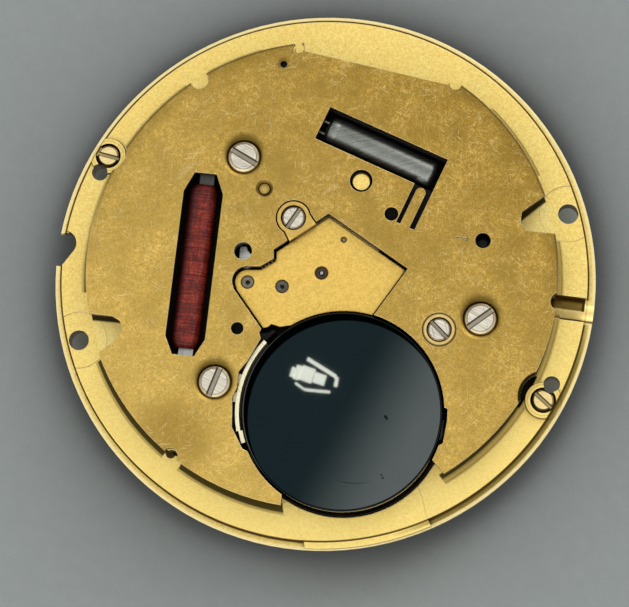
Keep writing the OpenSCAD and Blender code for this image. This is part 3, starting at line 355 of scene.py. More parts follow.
class Finish(Nodes):
    """A Principled material whose colour is laid on in coats."""

    def __init__(self, name, metallic=1.0, roughness=0.4, **fixed):
        self.name = name
        self.material = bpy.data.materials.new(name)
        self.material.use_nodes = True
        super().__init__(self.material.node_tree)
        self.output = self.add("ShaderNodeOutputMaterial")
        self.shader = self.add("ShaderNodeBsdfPrincipled")
        self.put(self.output.inputs["Surface"], self.shader.outputs["BSDF"])
        self.shader.inputs["Metallic"].default_value = metallic
        self.shader.inputs["Roughness"].default_value = roughness
        for socket, value in fixed.items():
            self.shader.inputs[socket.replace("_", " ")].default_value = value
        self.mm = self.vector("SCALE", self.add("ShaderNodeTexCoord").outputs["Object"], scale=1 / MM)
        split = self.add("ShaderNodeSeparateXYZ")
        self.put(split.inputs[0], self.mm)
        self.x, self.y, self.z = split.outputs
        self.colour = None
        self.normal = None

    def turned(self, angle, stretch):
        """The place, turned about Z and then scaled."""
        node = self.add("ShaderNodeVectorRotate", rotation_type="Z_AXIS")
        self.put(node.inputs["Vector"], self.mm)
        node.inputs["Angle"].default_value = math.radians(angle)
        return self.vector("MULTIPLY", node.outputs[0], stretch)

    def noise(self, scale, detail=3.0, roughness=0.55, at=None, distortion=0.0):
        node = self.add("ShaderNodeTexNoise")
        self.put(node.inputs["Vector"], at or self.mm)
        node.inputs["Scale"].default_value = scale
        node.inputs["Detail"].default_value = detail
        node.inputs["Roughness"].default_value = roughness
        node.inputs["Distortion"].default_value = distortion
        return node.outputs[0]

    def mix(self, factor, a, b):
        node = self.add("ShaderNodeMix", data_type="RGBA")
        for socket, value in ((0, factor), (6, a), (7, b)):
            self.put(node.inputs[socket], (*value, 1) if isinstance(value, tuple) else value)
        return node.outputs[2]

    def paint(self, mask, strength, tint):
        """Lays tint over the colour where the mask is 1."""
        self.colour = self.mix(self.math("MULTIPLY", mask, strength), self.colour, tint)

    def apart(self, x, y):
        """Distance from the upright line through (x, y)."""
        flat = self.vector("MULTIPLY", self.mm, (1, 1, 0))
        return self.vector("LENGTH", self.vector("SUBTRACT", flat, (x, y, 0)))

    def beyond(self, x, y, angle):
        """Distance past the point (x, y) in the direction of an angle in degrees."""
        shift = self.vector("SUBTRACT", self.mm, (x, y, 0))
        return self.vector("DOT_PRODUCT", shift, (*on_circle(1, angle), 0))

    def toward(self, right, down):
        """Distance from the part's axis along a direction of the picture."""
        return self.vector("DOT_PRODUCT", self.mm, to_part(right, down, 0).normalized())

    def band(self, value, low, high, soft=0.02):
        """1 where value lies between low and high."""
        under = self.span(value, high - soft, high + soft, 1.0, 0.0)
        return self.every(self.span(value, low - soft, low + soft), under)

    def within(self, radius, x, y, soft=0.02):
        """1 nearer than radius to the upright line through (x, y)."""
        return self.span(self.apart(x, y), radius - soft, radius + soft, 1.0, 0.0)

    def outside(self, radius, x, y, soft=0.02):
        """1 farther than radius from the upright line through (x, y)."""
        return self.span(self.apart(x, y), radius - soft, radius + soft)

    def walls(self):
        """1 on upright faces, 0 on level ones."""
        split = self.add("ShaderNodeSeparateXYZ")
        self.put(split.inputs[0], self.add("ShaderNodeNewGeometry").outputs["True Normal"])
        return self.span(self.math("ABSOLUTE", split.outputs["Z"]), 0.3, 0.8, 1.0, 0.0)

    def ticks(self, angle, width, length, bar):
        """A mask of short straight scratches: what stands over bar in a noise drawn out along them."""
        at = self.turned(angle, (1 / length, 1 / width, 1 / width))
        return self.span(self.noise(1.0, detail=1.0, at=at), bar, bar + 0.05)

    def hairlines(self, angle, spacing, length, share):
        """A mask of fine, nearly straight scratches: one level line of a noise that is stretched along them."""
        at = self.turned(angle, (1 / length, 1 / spacing, 1 / length))
        field = self.noise(1.0, detail=1.0, at=at, distortion=0.3)
        line = self.math("ABSOLUTE", self.math("SUBTRACT", field, 0.5))
        patch = self.span(self.noise(0.8, detail=2.0, at=at), 0.30 + share / 2, 0.34 + share / 2, 1.0, 0.0)
        return self.every(self.span(line, 0.003, 0.014, 1.0, 0.0), patch)

    def rounded(self, radius):
        """Rounds the edges in shading, and returns a mask of them."""
        bevel = self.add("ShaderNodeBevel", samples=4)
        bevel.inputs["Radius"].default_value = radius * MM
        self.normal = bevel.outputs[0]
        shape = self.add("ShaderNodeNewGeometry")
        return self.span(self.vector("DOT_PRODUCT", self.normal, shape.outputs["Normal"]), 0.995, 0.85)

    def crevice(self, distance):
        """How open the place is, from 0 in a narrow gap to 1 on open ground."""
        node = self.add("ShaderNodeAmbientOcclusion", samples=6)
        node.inputs["Distance"].default_value = distance * MM
        return node.outputs["AO"]

    def heads(self, screws, bevel, dark, sunk):
        """Turned and slotted heads: a darker bevel, a dark line in it, and the slot, with painted shade on the slot's
        floor and along its edges. A sunk one gets painted shade low down.
        """
        for x, y, radius, turn in screws:
            far = self.apart(x, y)
            self.paint(self.band(far, 0.86 * radius, 1.1 * radius), 0.85, bevel)
            self.paint(self.band(far, 0.82 * radius, 0.87 * radius, 0.012), 0.8, dark)
            if sunk:
                # Painted shade low down on a sunk head
                up = to_part(0.02, -0.06, 0)
                low = self.outside(0.92 * radius, x + up.x, y + up.y, 0.02 * radius)
                self.paint(self.every(low, self.within(1.1 * radius, x, y)), 0.9, dark)
            on = self.within(0.99 * radius, x, y)
            across = self.math("ABSOLUTE", self.beyond(x, y, turn + 90))
            floor = self.every(self.span(across, 0.11 * radius, 0.13 * radius, 1.0, 0.0), on)
            # Painted shade on the slot's floor and along its edges
            self.paint(floor, 0.8, times(bevel, 0.80 if sunk else 0.42))
            self.paint(self.every(self.band(across, 0.12 * radius, 0.205 * radius, 0.012), on), 0.93, dark)

    def bump(self, height, depth):
        """Adds a relief of that depth to the normal."""
        node = self.add("ShaderNodeBump")
        node.inputs["Strength"].default_value = 1.0
        node.inputs["Distance"].default_value = depth * MM
        self.put(node.inputs["Height"], height)
        if self.normal is not None:
            self.put(node.inputs["Normal"], self.normal)
        self.normal = node.outputs[0]

    def done(self, roughness=None):
        """Puts the colour, the roughness and the normal into the shader, and keeps the material in finishes."""
        self.put(self.shader.inputs["Base Color"], self.colour)
        if roughness is not None:
            self.put(self.shader.inputs["Roughness"], roughness)
        if self.normal is not None:
            self.put(self.shader.inputs["Normal"], self.normal)
        finishes[self.name] = self.material


def blasted_gilt(name, light, dark, roughness, grain=14.0, depth=0.004, edge=0.05, rim=(1.0, 0.90, 0.62),
                 rubbed_and_edge_shading=0.55, open_places=()):
    """Sandblasted gilt, not yet done: an even fine grain and small dark pits, painted shade on upright walls and in
    crevices, and its edges painted in the rim colour as painted light and shade, partly wear of the gilt.

    Returns the finish and its roughness.
    """
    f = Finish(name)
    edges = f.rounded(edge)
    open_ground = f.crevice(0.35)
    for place, radius, share, low in open_places:
        clear = f.every(f.within(radius, *place), f.math("GREATER_THAN", f.z, low), share)
        open_ground = f.most(open_ground, clear)
    grains = f.noise(grain, detail=2.0)
    coarse = f.noise(grain * 0.45, detail=3.0)
    cloud = f.noise(0.5, detail=5.0)
    both = f.math("ADD", f.math("MULTIPLY", grains, 0.6), f.math("MULTIPLY", coarse, 0.4))
    f.colour = f.mix(f.span(both, 0.41, 0.59), dark, light)
    f.paint(f.span(cloud, 0.35, 0.7), 0.25, dark)
    f.paint(f.span(f.noise(5.0, detail=1.0), 0.70, 0.78), 0.5, times(dark, 0.5))
    f.bump(grains, depth)
    f.bump(coarse, depth * 1.5)
    # Painted shade on the upright walls
    f.paint(f.every(f.walls(), f.within(FLANGE_R - 0.15, 0, 0)), 0.94, (0.042, 0.020, 0.002))
    # The edges in the rim colour: a painted highlight, partly wear of the gilt, where the rim is pale, and painted
    # shade where it is dark
    f.paint(edges, rubbed_and_edge_shading, rim)
    # Painted shade in crevices
    f.paint(f.span(open_ground, 0.25, 0.80, 1.0, 0.0), 1.0, (0.05, 0.02, 0.0))
    return f, f.span(cloud, 0.3, 0.7, roughness - 0.05, roughness + 0.07)


def bridge_gilt(name):
    """The train bridge's gilt, with painted shade along its edges, and darker in a ring round its screw."""
    f, rough = blasted_gilt(name, (0.94, 0.65, 0.165), (0.76, 0.51, 0.115), 0.46, grain=10.0, depth=0.003, edge=0.06,
                            rim=(0.055, 0.018, 0.004), rubbed_and_edge_shading=0.9)
    f.paint(f.band(f.apart(*BRIDGE_HEAD[:2]), 0.6, 0.95, 0.03), 0.4, (0.40, 0.27, 0.08))
    f.done(rough)


def hidden_outside(f):
    """How far a step of one millimetre, on the ring's edge, hides the ground outside it from the camera."""
    away = math.hypot(*STAND)
    place = f.vector("DOT_PRODUCT", f.mm, to_part(*STAND, 0))
    far, near = (RING_R + away) / STAND_HEIGHT, (RING_R - away) / STAND_HEIGHT
    return f.most(f.span(place, -away * RING_R, away * RING_R, far, near), 0.0)


def paint_ears(f):
    """The ears round the clamp holes, with painted light on their floors, the edges of their pads, and painted shade
    beside their walls.
    """
    land = f.math("GREATER_THAN", f.z, LAND_Z - 0.06)
    walls = f.most(*(f.band(f.beyond(x, y, angle), -0.6, wide, 0.045) for x, y, angle, wide in EAR_WALLS))
    for place in CLAMPS:
        ear = f.every(f.within(EAR_R, *place), f.within(COVER_R + 0.05, 0, 0), land)
        pad = f.every(f.band(f.apart(*place), PAD_R - 0.012, PAD_R + 0.012, 0.018), land)
        # Painted light on the ear's floor
        f.paint(ear, 0.3, (1.0, 0.86, 0.36))
        f.paint(pad, 0.8, (0.16, 0.08, 0.01))
        # Painted shade beside the ear's walls
        f.paint(f.every(ear, walls), 0.97, (0.016, 0.009, 0.001))


def paint_foot_seats(f):
    """The turned rings round each dial foot screw, and painted shade in the well round it."""
    well_r, inner_ring, outer_ring = 0.61, (0.73, 0.755), (0.85, 0.90)
    for place in FOOT_SCREWS:
        far = f.apart(*place)
        well = f.every(f.within(well_r, *place), f.span(f.z, 1.1, 1.18, 1.0, 0.0))
        f.paint(f.band(far, *inner_ring, 0.015), 0.6, (0.30, 0.18, 0.03))
        f.paint(f.band(far, *outer_ring, 0.02), 0.75, (0.10, 0.05, 0.005))
        # Painted shade in the well
        f.paint(well, 0.95, (0.030, 0.012, 0.001))


def paint_cover_foot(f, hidden):
    """Painted shade on the wall below the cover's round edge, and a painted shadow on the ground at its foot where
    that faces the picture's foot.
    """
    low = f.span(f.toward(0.0, 1.0), -3.0, 2.0)
    right = f.span(f.toward(1.0, 0.0), 1.0, 6.0)
    chord = f.span(f.vector("DOT_PRODUCT", f.mm, CHORD_TOWARDS), CHORD_AWAY - 0.05, CHORD_AWAY + 0.05, 1.0, 0.0)
    far = f.math("SUBTRACT", f.apart(0, 0), f.math("MULTIPLY", hidden, 1.35))
    far = f.math("SUBTRACT", far, f.span(f.toward(0.0, 1.0), -2.0, 7.0, 0.07, 0.22))
    clear = f.most(*(f.span(f.beyond(*end), -0.03, 0.03) for end in COVER_ENDS))
    for place, flank in zip(CLAMPS, EAR_FLANKS):
        clear = f.every(clear, f.most(f.outside(2.32, *place), f.span(f.beyond(*flank), 0.0, 0.06)))
    for place in FOOT_SCREWS:
        clear = f.every(clear, f.outside(0.94, *place, 0.01))
    for place in NOTCHES:
        clear = f.every(clear, f.outside(NOTCH_R + 0.02, *place))
    clear = f.every(clear, f.outside(TONGUE_R + 0.02, *TONGUE), f.math("GREATER_THAN", f.z, 0.9))
    end = f.span(right, 0.0, 1.0, COVER_R - 0.04, COVER_R - 0.22)
    foot = f.every(f.span(far, COVER_R - 0.48, COVER_R - 0.42), f.span(far, end, f.math("ADD", end, 0.12), 1.0, 0.0),
                   chord, f.span(low, 0.0, 1.0, 0.6, 1.0), clear)
    wall = f.every(clear, right, chord)
    brown = f.every(wall, f.band(far, COVER_R - 0.16, COVER_R + 0.02, 0.03))
    brown_line = f.every(wall, f.band(far, COVER_R + 0.01, COVER_R + 0.05, 0.025))
    foot_line = f.every(low, clear, f.band(far, COVER_R + 0.05, COVER_R + 0.11, 0.03))
    # Painted shade on the wall and its lines, and a painted shadow at its foot
    f.paint(brown, 0.65, (0.36, 0.23, 0.045))
    f.paint(brown_line, 0.8, (0.10, 0.060, 0.008))
    f.paint(foot, 0.95, (0.034, 0.024, 0.002))
    f.paint(foot_line, 0.6, (0.28, 0.17, 0.02))


def paint_flange(f, hidden):
    """Painted shade at the step from the ring down to the flange and on the ground beside it, and a painted highlight
    on the flange's outer edge.
    """
    far = f.apart(0, 0)
    low_right = f.span(f.toward(0.75, 0.66), 10.6, 11.8)
    step = f.band(f.math("SUBTRACT", far, f.math("MULTIPLY", hidden, 0.65)), RING_R - 0.015, RING_R + 0.075, 0.015)
    gutter = f.every(low_right, f.band(far, RING_R + 0.03, FLANGE_R - 0.16, 0.04))
    outer = f.every(f.band(far, FLANGE_R - 0.14, FLANGE_R + 0.1, 0.03), f.math("LESS_THAN", f.z, LAND_Z - 0.1))
    # Painted shade at the step and beside it, and a painted highlight on the outer edge
    f.paint(step, 0.93, (0.055, 0.020, 0.002))
    f.paint(gutter, 0.75, (0.17, 0.12, 0.02))
    f.paint(outer, 0.7, (1.0, 0.87, 0.48))


def paint_stem_slot(f):
    """The stem's slot: painted bright as lit, with a painted shadow on one side, and painted shade along its walls,
    at its step and at its inner end.
    """
    start, end, step, half = 10.3, 11.1, 12.5, STEM_SLOT_W / 2
    slot = f.every(f.span(f.x, start, start + 0.05), f.band(f.y, -half, half),
                   f.math("LESS_THAN", f.z, LAND_Z - 0.02))
    inner = f.span(f.x, step, step + 0.06, 1.0, 0.0)
    shaded = f.every(f.band(f.y, 0.05, 0.7, 0.03), inner)
    upper_wall = f.every(f.span(f.y, 0.36, 0.46), inner)
    lower_wall = f.every(f.band(f.y, -0.50, -0.40), 0.9)
    step_line = f.every(f.band(f.x, step - 0.10, step + 0.03), f.span(f.y, 0.02, 0.06))
    dark = f.most(upper_wall, lower_wall, step_line, f.span(f.x, end - 0.1, end + 0.1, 1.0, 0.0))
    # Painted light in the slot, a painted shadow on one side, and painted shade at its walls, step and end
    f.paint(slot, 0.7, (0.96, 0.76, 0.30))
    f.paint(f.every(slot, shaded), 0.93, (0.12, 0.07, 0.008))
    f.paint(f.every(slot, dark), 0.9, (0.035, 0.012, 0.002))


def paint_posts(f):
    """The posts in the cover's round window and dimpled hole: painted shade round the rim of each, and the smaller
    one darker.
    """
    high = f.math("GREATER_THAN", f.z, 1.9)
    down = to_part(0, 0.05, 0)
    for (x, y), start, fade in ((SIGHT_POST, 0.38, 0.04), (DIMPLE_POST, 0.08, 0.22)):
        rim = f.span(f.apart(x + down.x, y + down.y), start, start + fade)
        # Painted shade round the post's rim, heavier towards the picture's top
        f.paint(f.every(rim, high, f.within(0.8, x, y)), 0.9, (0.10, 0.05, 0.006))
    f.paint(f.every(f.within(0.5, *DIMPLE_POST), high), 0.55, (0.24, 0.15, 0.03))


def paint_hollow(f):
    """Painted shade, nearly black, in the plate's hollow, and in the moats of the dial foot screws as far as the
    cover reaches.
    """
    hollow = f.every(f.within(HOLLOW_R, 0, 0), f.outside(0.36, *FAINT_DIMPLE))
    for place in CLAMPS:
        hollow = f.every(hollow, f.outside(EAR_R, *place))
    for place in FOOT_SCREWS:
        moat = f.every(f.within(MOAT_R, *place), f.within(COVER_R + 0.06, 0, 0), f.span(f.z, 0.90, 0.98, 1.0, 0.0))
        hollow = f.most(hollow, moat)
    black = f.every(hollow, f.span(f.z, 1.2, 1.9, 1.0, 0.0), f.math("GREATER_THAN", f.z, 0.45))
    # Painted shade, nearly black
    f.paint(black, 0.985, (0.004, 0.005, 0.006))


def plate_gilt(name):
    """The main plate's gilt, with painted light and shade at its steps, ears, seats and slots. The coats lie in this
    order.
    """
    f, rough = blasted_gilt(name, (1.0, 0.815, 0.285), (0.86, 0.61, 0.160), 0.50, depth=0.006,
                            open_places=OPEN_PLACES)
    land = f.math("GREATER_THAN", f.z, LAND_Z - 0.06)
    # Painted light: the land brighter towards the picture's foot
    f.paint(f.every(land, f.span(f.toward(0.0, 1.0), 0.0, 9.0)), 0.5, (1.0, 0.785, 0.262))
    hidden = hidden_outside(f)
    paint_ears(f)
    paint_foot_seats(f)
    # Painted shade, nearly black, in the holes beside the tongue
    for x, y, radius in TONGUE_HOLES:
        f.paint(f.every(f.within(radius, x, y), f.math("LESS_THAN", f.z, 2.0)), 0.95, (0.010, 0.007, 0.002))
    paint_cover_foot(f, hidden)
    paint_flange(f, hidden)
    paint_stem_slot(f)
    paint_posts(f)
    paint_hollow(f)
    f.done(rough)


def paint_cover_marks(f, edges):
    """Painted light and shade on the cover: round its screws, on its walls, edges and holes. Returns a mask of the
    ground round its screws.
    """
    heads = f.most(*(f.within(1.15, *place) for place in COVER_SCREWS))
    up = to_part(0, -0.18, 0)
    for x, y in COVER_SCREWS:
        # Painted shade in the dimple round each screw, reaching farther towards the picture's top
        dimple_shade = f.span(f.apart(x + up.x, y + up.y), 0.70, 1.16, 1.0, 0.0, smooth=True)
        f.paint(dimple_shade, 0.92, (0.066, 0.042, 0.006))
    # Painted shade on the walls, weaker near the screws
    f.paint(f.every(f.walls(), f.span(heads, 0.0, 1.0, 1.0, 0.45)), 0.93, (0.030, 0.015, 0.002))
    far = f.apart(0, 0)
    top = f.toward(0.2, -1)
    in_shade = f.every(f.span(far, COVER_R - 0.75, COVER_R - 0.1), f.span(top, -2.0, 3.0))
    turned_down = f.every(f.span(far, COVER_R - 0.14, COVER_R - 0.04), f.span(top, 0.0, 3.0))
    # Painted shade near the cover's edge towards the picture's top, and on its turned-down edge
    f.paint(in_shade, 0.35, (0.16, 0.10, 0.015))
    f.paint(turned_down, 0.75, (0.10, 0.060, 0.008))
    # Painted highlight on the edges, away from the screws
    f.paint(f.every(edges, f.math("SUBTRACT", 1.0, heads)), 0.65, (1.0, 0.88, 0.60))
    # Painted shade in the moat of a foot screw, round the post of the dimpled hole and in the faint dimple
    f.paint(f.within(MOAT_R - 0.01, *FOOT_SCREWS[1]), 0.97, (0.005, 0.005, 0.004))
    f.paint(f.band(f.apart(*DIMPLE_POST), 0.2, 0.42, 0.04), 0.75, (0.12, 0.07, 0.01))
    f.paint(f.within(0.28, *FAINT_DIMPLE, 0.10), 0.75, (0.16, 0.095, 0.014))
    return heads


def handled_gilt(name, light, dark, stain, roughness):
    """Dull gilt of a handled cover: fine mottling, blotches, short thin scratches, painted light and shade, and
    painted shade round the screws.
    """
    f = Finish(name)
    edges = f.rounded(0.04)
    open_ground = f.crevice(0.3)
    blotch = f.noise(0.7, detail=8.0, roughness=0.62)
    mottle = f.noise(4.5, detail=6.0, roughness=0.75)
    fine = f.noise(17.0, detail=2.0)
    stains = f.span(f.noise(0.38, detail=6.0, roughness=0.7, distortion=0.6), 0.50, 0.72)
    wear_and_shade = f.span(f.noise(0.75, detail=4.0, roughness=0.7), 0.44, 0.60, 0.25, 1.0)
    rubbed_and_edge_shading = f.every(f.most(f.ticks(28, 0.06, 0.50, 0.67), f.ticks(-57, 0.07, 0.42, 0.67),
                            f.ticks(84, 0.06, 0.55, 0.68), f.ticks(-14, 0.07, 0.7, 0.68)), wear_and_shade)
    cut = f.most(f.ticks(62, 0.07, 0.4, 0.67), f.ticks(-36, 0.07, 0.5, 0.67), f.ticks(7, 0.06, 0.45, 0.68))
    long = f.most(f.hairlines(131, 0.9, 5.0, 0.12), f.hairlines(20, 0.8, 4.0, 0.10), f.hairlines(75, 0.7, 2.2, 0.14))
    f.colour = f.mix(f.span(blotch, 0.34, 0.66), dark, light)
    f.paint(f.span(mottle, 0.38, 0.60), 0.95, dark)
    f.paint(f.span(fine, 0.38, 0.60), 0.8, times(dark, 0.68))
    f.paint(stains, 0.65, stain)
    # Painted light and shade, as the light falls: warmer low on the left and darker high on the right
    warm, in_shade = f.mix(0.34, f.colour, (1.0, 0.72, 0.20)), f.mix(0.20, f.colour, times(dark, 0.7))
    f.colour = f.mix(f.span(f.toward(0.66, -0.75), -10.0, 10.0), warm, in_shade)
    f.paint(f.span(f.apart(*DULL_PATCH), 0.4, 2.8, 1.0, 0.0, smooth=True), 0.6, (0.30, 0.180, 0.028))
    f.paint(cut, 0.32, times(dark, 0.5))
    f.paint(rubbed_and_edge_shading, 0.42, (1.0, 0.80, 0.38))
    f.paint(long, 0.13, (1.0, 0.86, 0.50))
    heads = paint_cover_marks(f, edges)
    # Painted shade in crevices and round the screws
    open_ground = f.most(open_ground, f.math("MULTIPLY", heads, 0.62))
    f.paint(f.span(open_ground, 0.25, 0.80, 1.0, 0.0), 1.0, (0.03, 0.012, 0.0))
    rough = f.span(blotch, 0.3, 0.7, roughness - 0.06, roughness + 0.08)
    f.bump(mottle, 0.006)
    f.bump(fine, 0.003)
    f.bump(f.math("SUBTRACT", rubbed_and_edge_shading, cut), 0.002)
    f.done(f.math("SUBTRACT", rough, f.math("MULTIPLY", rubbed_and_edge_shading, 0.08)))


def worked_steel(name, light, dark, roughness, angle, heads=(), bevel=(0.82, 0.70, 0.47), crevice_shade=1.0, spots=(),
                 fade=None, shown=None, wear_and_shade=()):
    """Metal with fine lines in one direction, a few crossing scratches, and a painted highlight on its edges.

    Spots get painted shade, nearly black, and each given ring is darker inside, with painted shade, dark brown, round
    it. fade paints shade that deepens along a direction of the picture, outside the place that is shown it has
    painted shade, and crevices get painted shade.
    """
    line, depth = 0.05, 0.002
    f = Finish(name)
    edges = f.rounded(0.03)
    grain = f.noise(1.0, detail=3.0, at=f.turned(angle, (0.5, 1 / line, 0.5)))
    cloud = f.noise(1.6, detail=5.0)
    cuts = f.most(f.ticks(angle + 52, 0.06, 0.7, 0.66), f.ticks(angle - 33, 0.07, 0.9, 0.66))
    f.colour = f.mix(f.span(grain, 0.3, 0.7), dark, light)
    f.paint(f.span(cloud, 0.4, 0.75), 0.5, dark)
    f.paint(cuts, 0.5, times(dark, 0.4))
    # Painted highlight on the edges
    f.paint(edges, 0.5, tuple(min(1, v * 1.3) for v in light))
    f.bump(grain, depth)
    f.bump(f.math("SUBTRACT", 1.0, cuts), depth)
    f.heads(heads, bevel, (0.045, 0.030, 0.012), sunk=heads == FOOT_HEADS)
    # Darker inside each given ring, with painted shade round it
    for x, y, radius in wear_and_shade:
        f.paint(f.within(radius + 0.02, x, y), 0.6, (0.62, 0.42, 0.13))
        f.paint(f.band(f.apart(x, y), radius - 0.04, radius + 0.3), 0.85, (0.09, 0.055, 0.008))
    # Painted shade, nearly black, at the spots
    for x, y, radius in spots:
        f.paint(f.within(radius, x, y), 0.97, (0.010, 0.009, 0.008))
    # Painted shade that deepens along a direction of the picture
    if fade:
        right, down, start, end = fade
        f.paint(f.span(f.toward(right, down), start, end), 0.9, times(dark, 0.2))
    # Painted shade outside the place that is shown
    if shown:
        f.paint(f.outside(0.64, *shown, 0.04), 0.97, (0.030, 0.010, 0.006))
    # Painted shade in crevices
    f.paint(f.span(f.crevice(0.25), 0.2, 0.8, 1.0, 0.0), crevice_shade, times(dark, 0.06))
    f.done(f.span(grain, 0.3, 0.7, roughness - 0.05, roughness + 0.08))


def mirror_steel(name):
    """Polished steel of the cell, with a few dust specks and marks, and a painted dark reflection on its rolled edge,
    grey on its left.
    """
    f = Finish(name)
    cloud = f.noise(0.5, detail=3.0)
    dust = f.span(f.noise(2.6, detail=2.0, roughness=0.7), 0.74, 0.78)
    hairs = f.every(f.hairlines(35, 1.2, 3.6, 0.0), f.span(f.toward(1, 0.6), 1.0, 4.0))
    x, y, radius = CELL_ARC
    arc = f.every(f.band(f.apart(x, y), radius - 0.015, radius + 0.015), f.band(f.toward(1, 0), 0.9, 2.2, 0.3),
                  f.span(f.toward(0, 1), 8.0, 8.4))
    f.colour = f.mix(f.span(cloud, 0.3, 0.7), (0.58, 0.66, 0.66), (0.62, 0.70, 0.69))
    f.paint(arc, 0.7, (0.02, 0.022, 0.022))
    f.paint(f.most(dust, hairs), 0.35, (0.12, 0.13, 0.13))
    for x, y, radius in CELL_SPECKS:
        f.paint(f.within(radius, x, y, 0.03), 0.9, (0.01, 0.012, 0.013))
    face = f.every(f.within(CELL_FACE_R, *CELL_FACE), f.within(CELL_R - 0.105, *CELL, 0.01))
    # Painted dark reflection on the rolled edge, grey on its left
    left_rim = f.every(f.outside(CELL_R - 0.055, *CELL, 0.015), f.span(f.toward(-1, -0.1), 1.5, 2.5))
    edge = f.mix(left_rim, (0.016, 0.019, 0.020), (0.10, 0.105, 0.10))
    f.colour = f.mix(face, edge, f.colour)
    f.bump(cloud, 0.0001)
    f.done(f.span(dust, 0.0, 1.0, 0.012, 0.2))


def jewelled(name):
    """Stones of the bearings: one pale grey, one dark grey and one brown, each with a dark rim and an oil sink."""
    f = Finish(name, metallic=0.0, Specular_IOR_Level=0.3)
    f.rounded(0.03)
    grain = f.noise(6.0, detail=3.0)
    f.colour = f.mix(grain, (0.10, 0.085, 0.065), (0.16, 0.14, 0.11))
    for place, tint in zip(JEWELS, ((0.185, 0.165, 0.115), (0.085, 0.078, 0.060), (0.040, 0.019, 0.006))):
        far = f.apart(*place)
        stone = f.mix(f.span(grain, 0.35, 0.65), times(tint, 0.8), tint)
        stone = f.mix(f.span(far, 0.24, 0.29), stone, (0.02, 0.012, 0.005))
        stone = f.mix(f.span(far, 0.09, 0.13, 1.0, 0.0), stone, (0.006, 0.005, 0.004))
        f.paint(f.within(0.6, *place), 1.0, stone)
    f.bump(grain, 0.001)
    f.done(f.span(grain, 0.3, 0.7, 0.28, 0.36))


def wound(name):
    """Enamelled copper wire laid in turns: dark red, with fine crossing lines that never repeat, and painted shade on
    its left side and in its crevices.
    """
    f = Finish(name, metallic=0.0, Specular_IOR_Level=0.22)
    lines = f.noise(1.0, detail=2.0, at=f.turned(-COIL_TURN, (0.7, 22.0, 0.7)))
    broad = f.noise(1.0, detail=3.0, at=f.turned(-COIL_TURN, (0.6, 3.0, 0.6)))
    weave = f.noise(9.0, detail=3.0, roughness=0.7)
    long = f.noise(1.0, detail=3.0, at=f.turned(-COIL_TURN, (9.0, 1.2, 1.0)))
    left = f.span(f.beyond(*COIL_AT, 180 - COIL_TURN), 0.22, 0.62)
    f.colour = f.mix(f.span(lines, 0.36, 0.64), (0.10, 0.009, 0.006), (0.45, 0.053, 0.022))
    f.paint(f.span(broad, 0.38, 0.68), 0.55, (0.085, 0.009, 0.008))
    f.paint(f.span(long, 0.42, 0.62), 0.6, (0.055, 0.005, 0.005))
    f.paint(f.span(weave, 0.40, 0.66), 0.6, (0.055, 0.005, 0.006))
    f.paint(f.span(weave, 0.30, 0.38, 1.0, 0.0), 0.5, (0.62, 0.14, 0.08))
    # Painted shade on the left side
    f.paint(left, 0.75, (0.020, 0.002, 0.003))
    # Painted shade in crevices
    f.paint(f.span(f.crevice(0.5), 0.35, 0.95, 1.0, 0.0), 1.0, (0.012, 0.001, 0.001))
    f.bump(lines, 0.004)
    f.done(f.span(weave, 0.3, 0.7, 0.36, 0.5))


def moulded(name, light, dark, roughness, depth=0.004, **fixed):
    """Moulded plastic or lacquer with a fine texture and a little dust."""
    f = Finish(name, metallic=0.0, **fixed)
    f.rounded(0.04)
    grain = f.noise(9.0, detail=4.0)
    dust = f.span(f.noise(3.0, detail=6.0, roughness=0.8), 0.62, 0.75)
    f.colour = f.mix(f.span(grain, 0.3, 0.7), dark, light)
    f.paint(dust, 0.25, tuple(v * 0.6 + 0.1 for v in light))
    f.bump(grain, depth)
    f.done(f.span(grain, 0.3, 0.7, roughness - 0.06, roughness + 0.06))


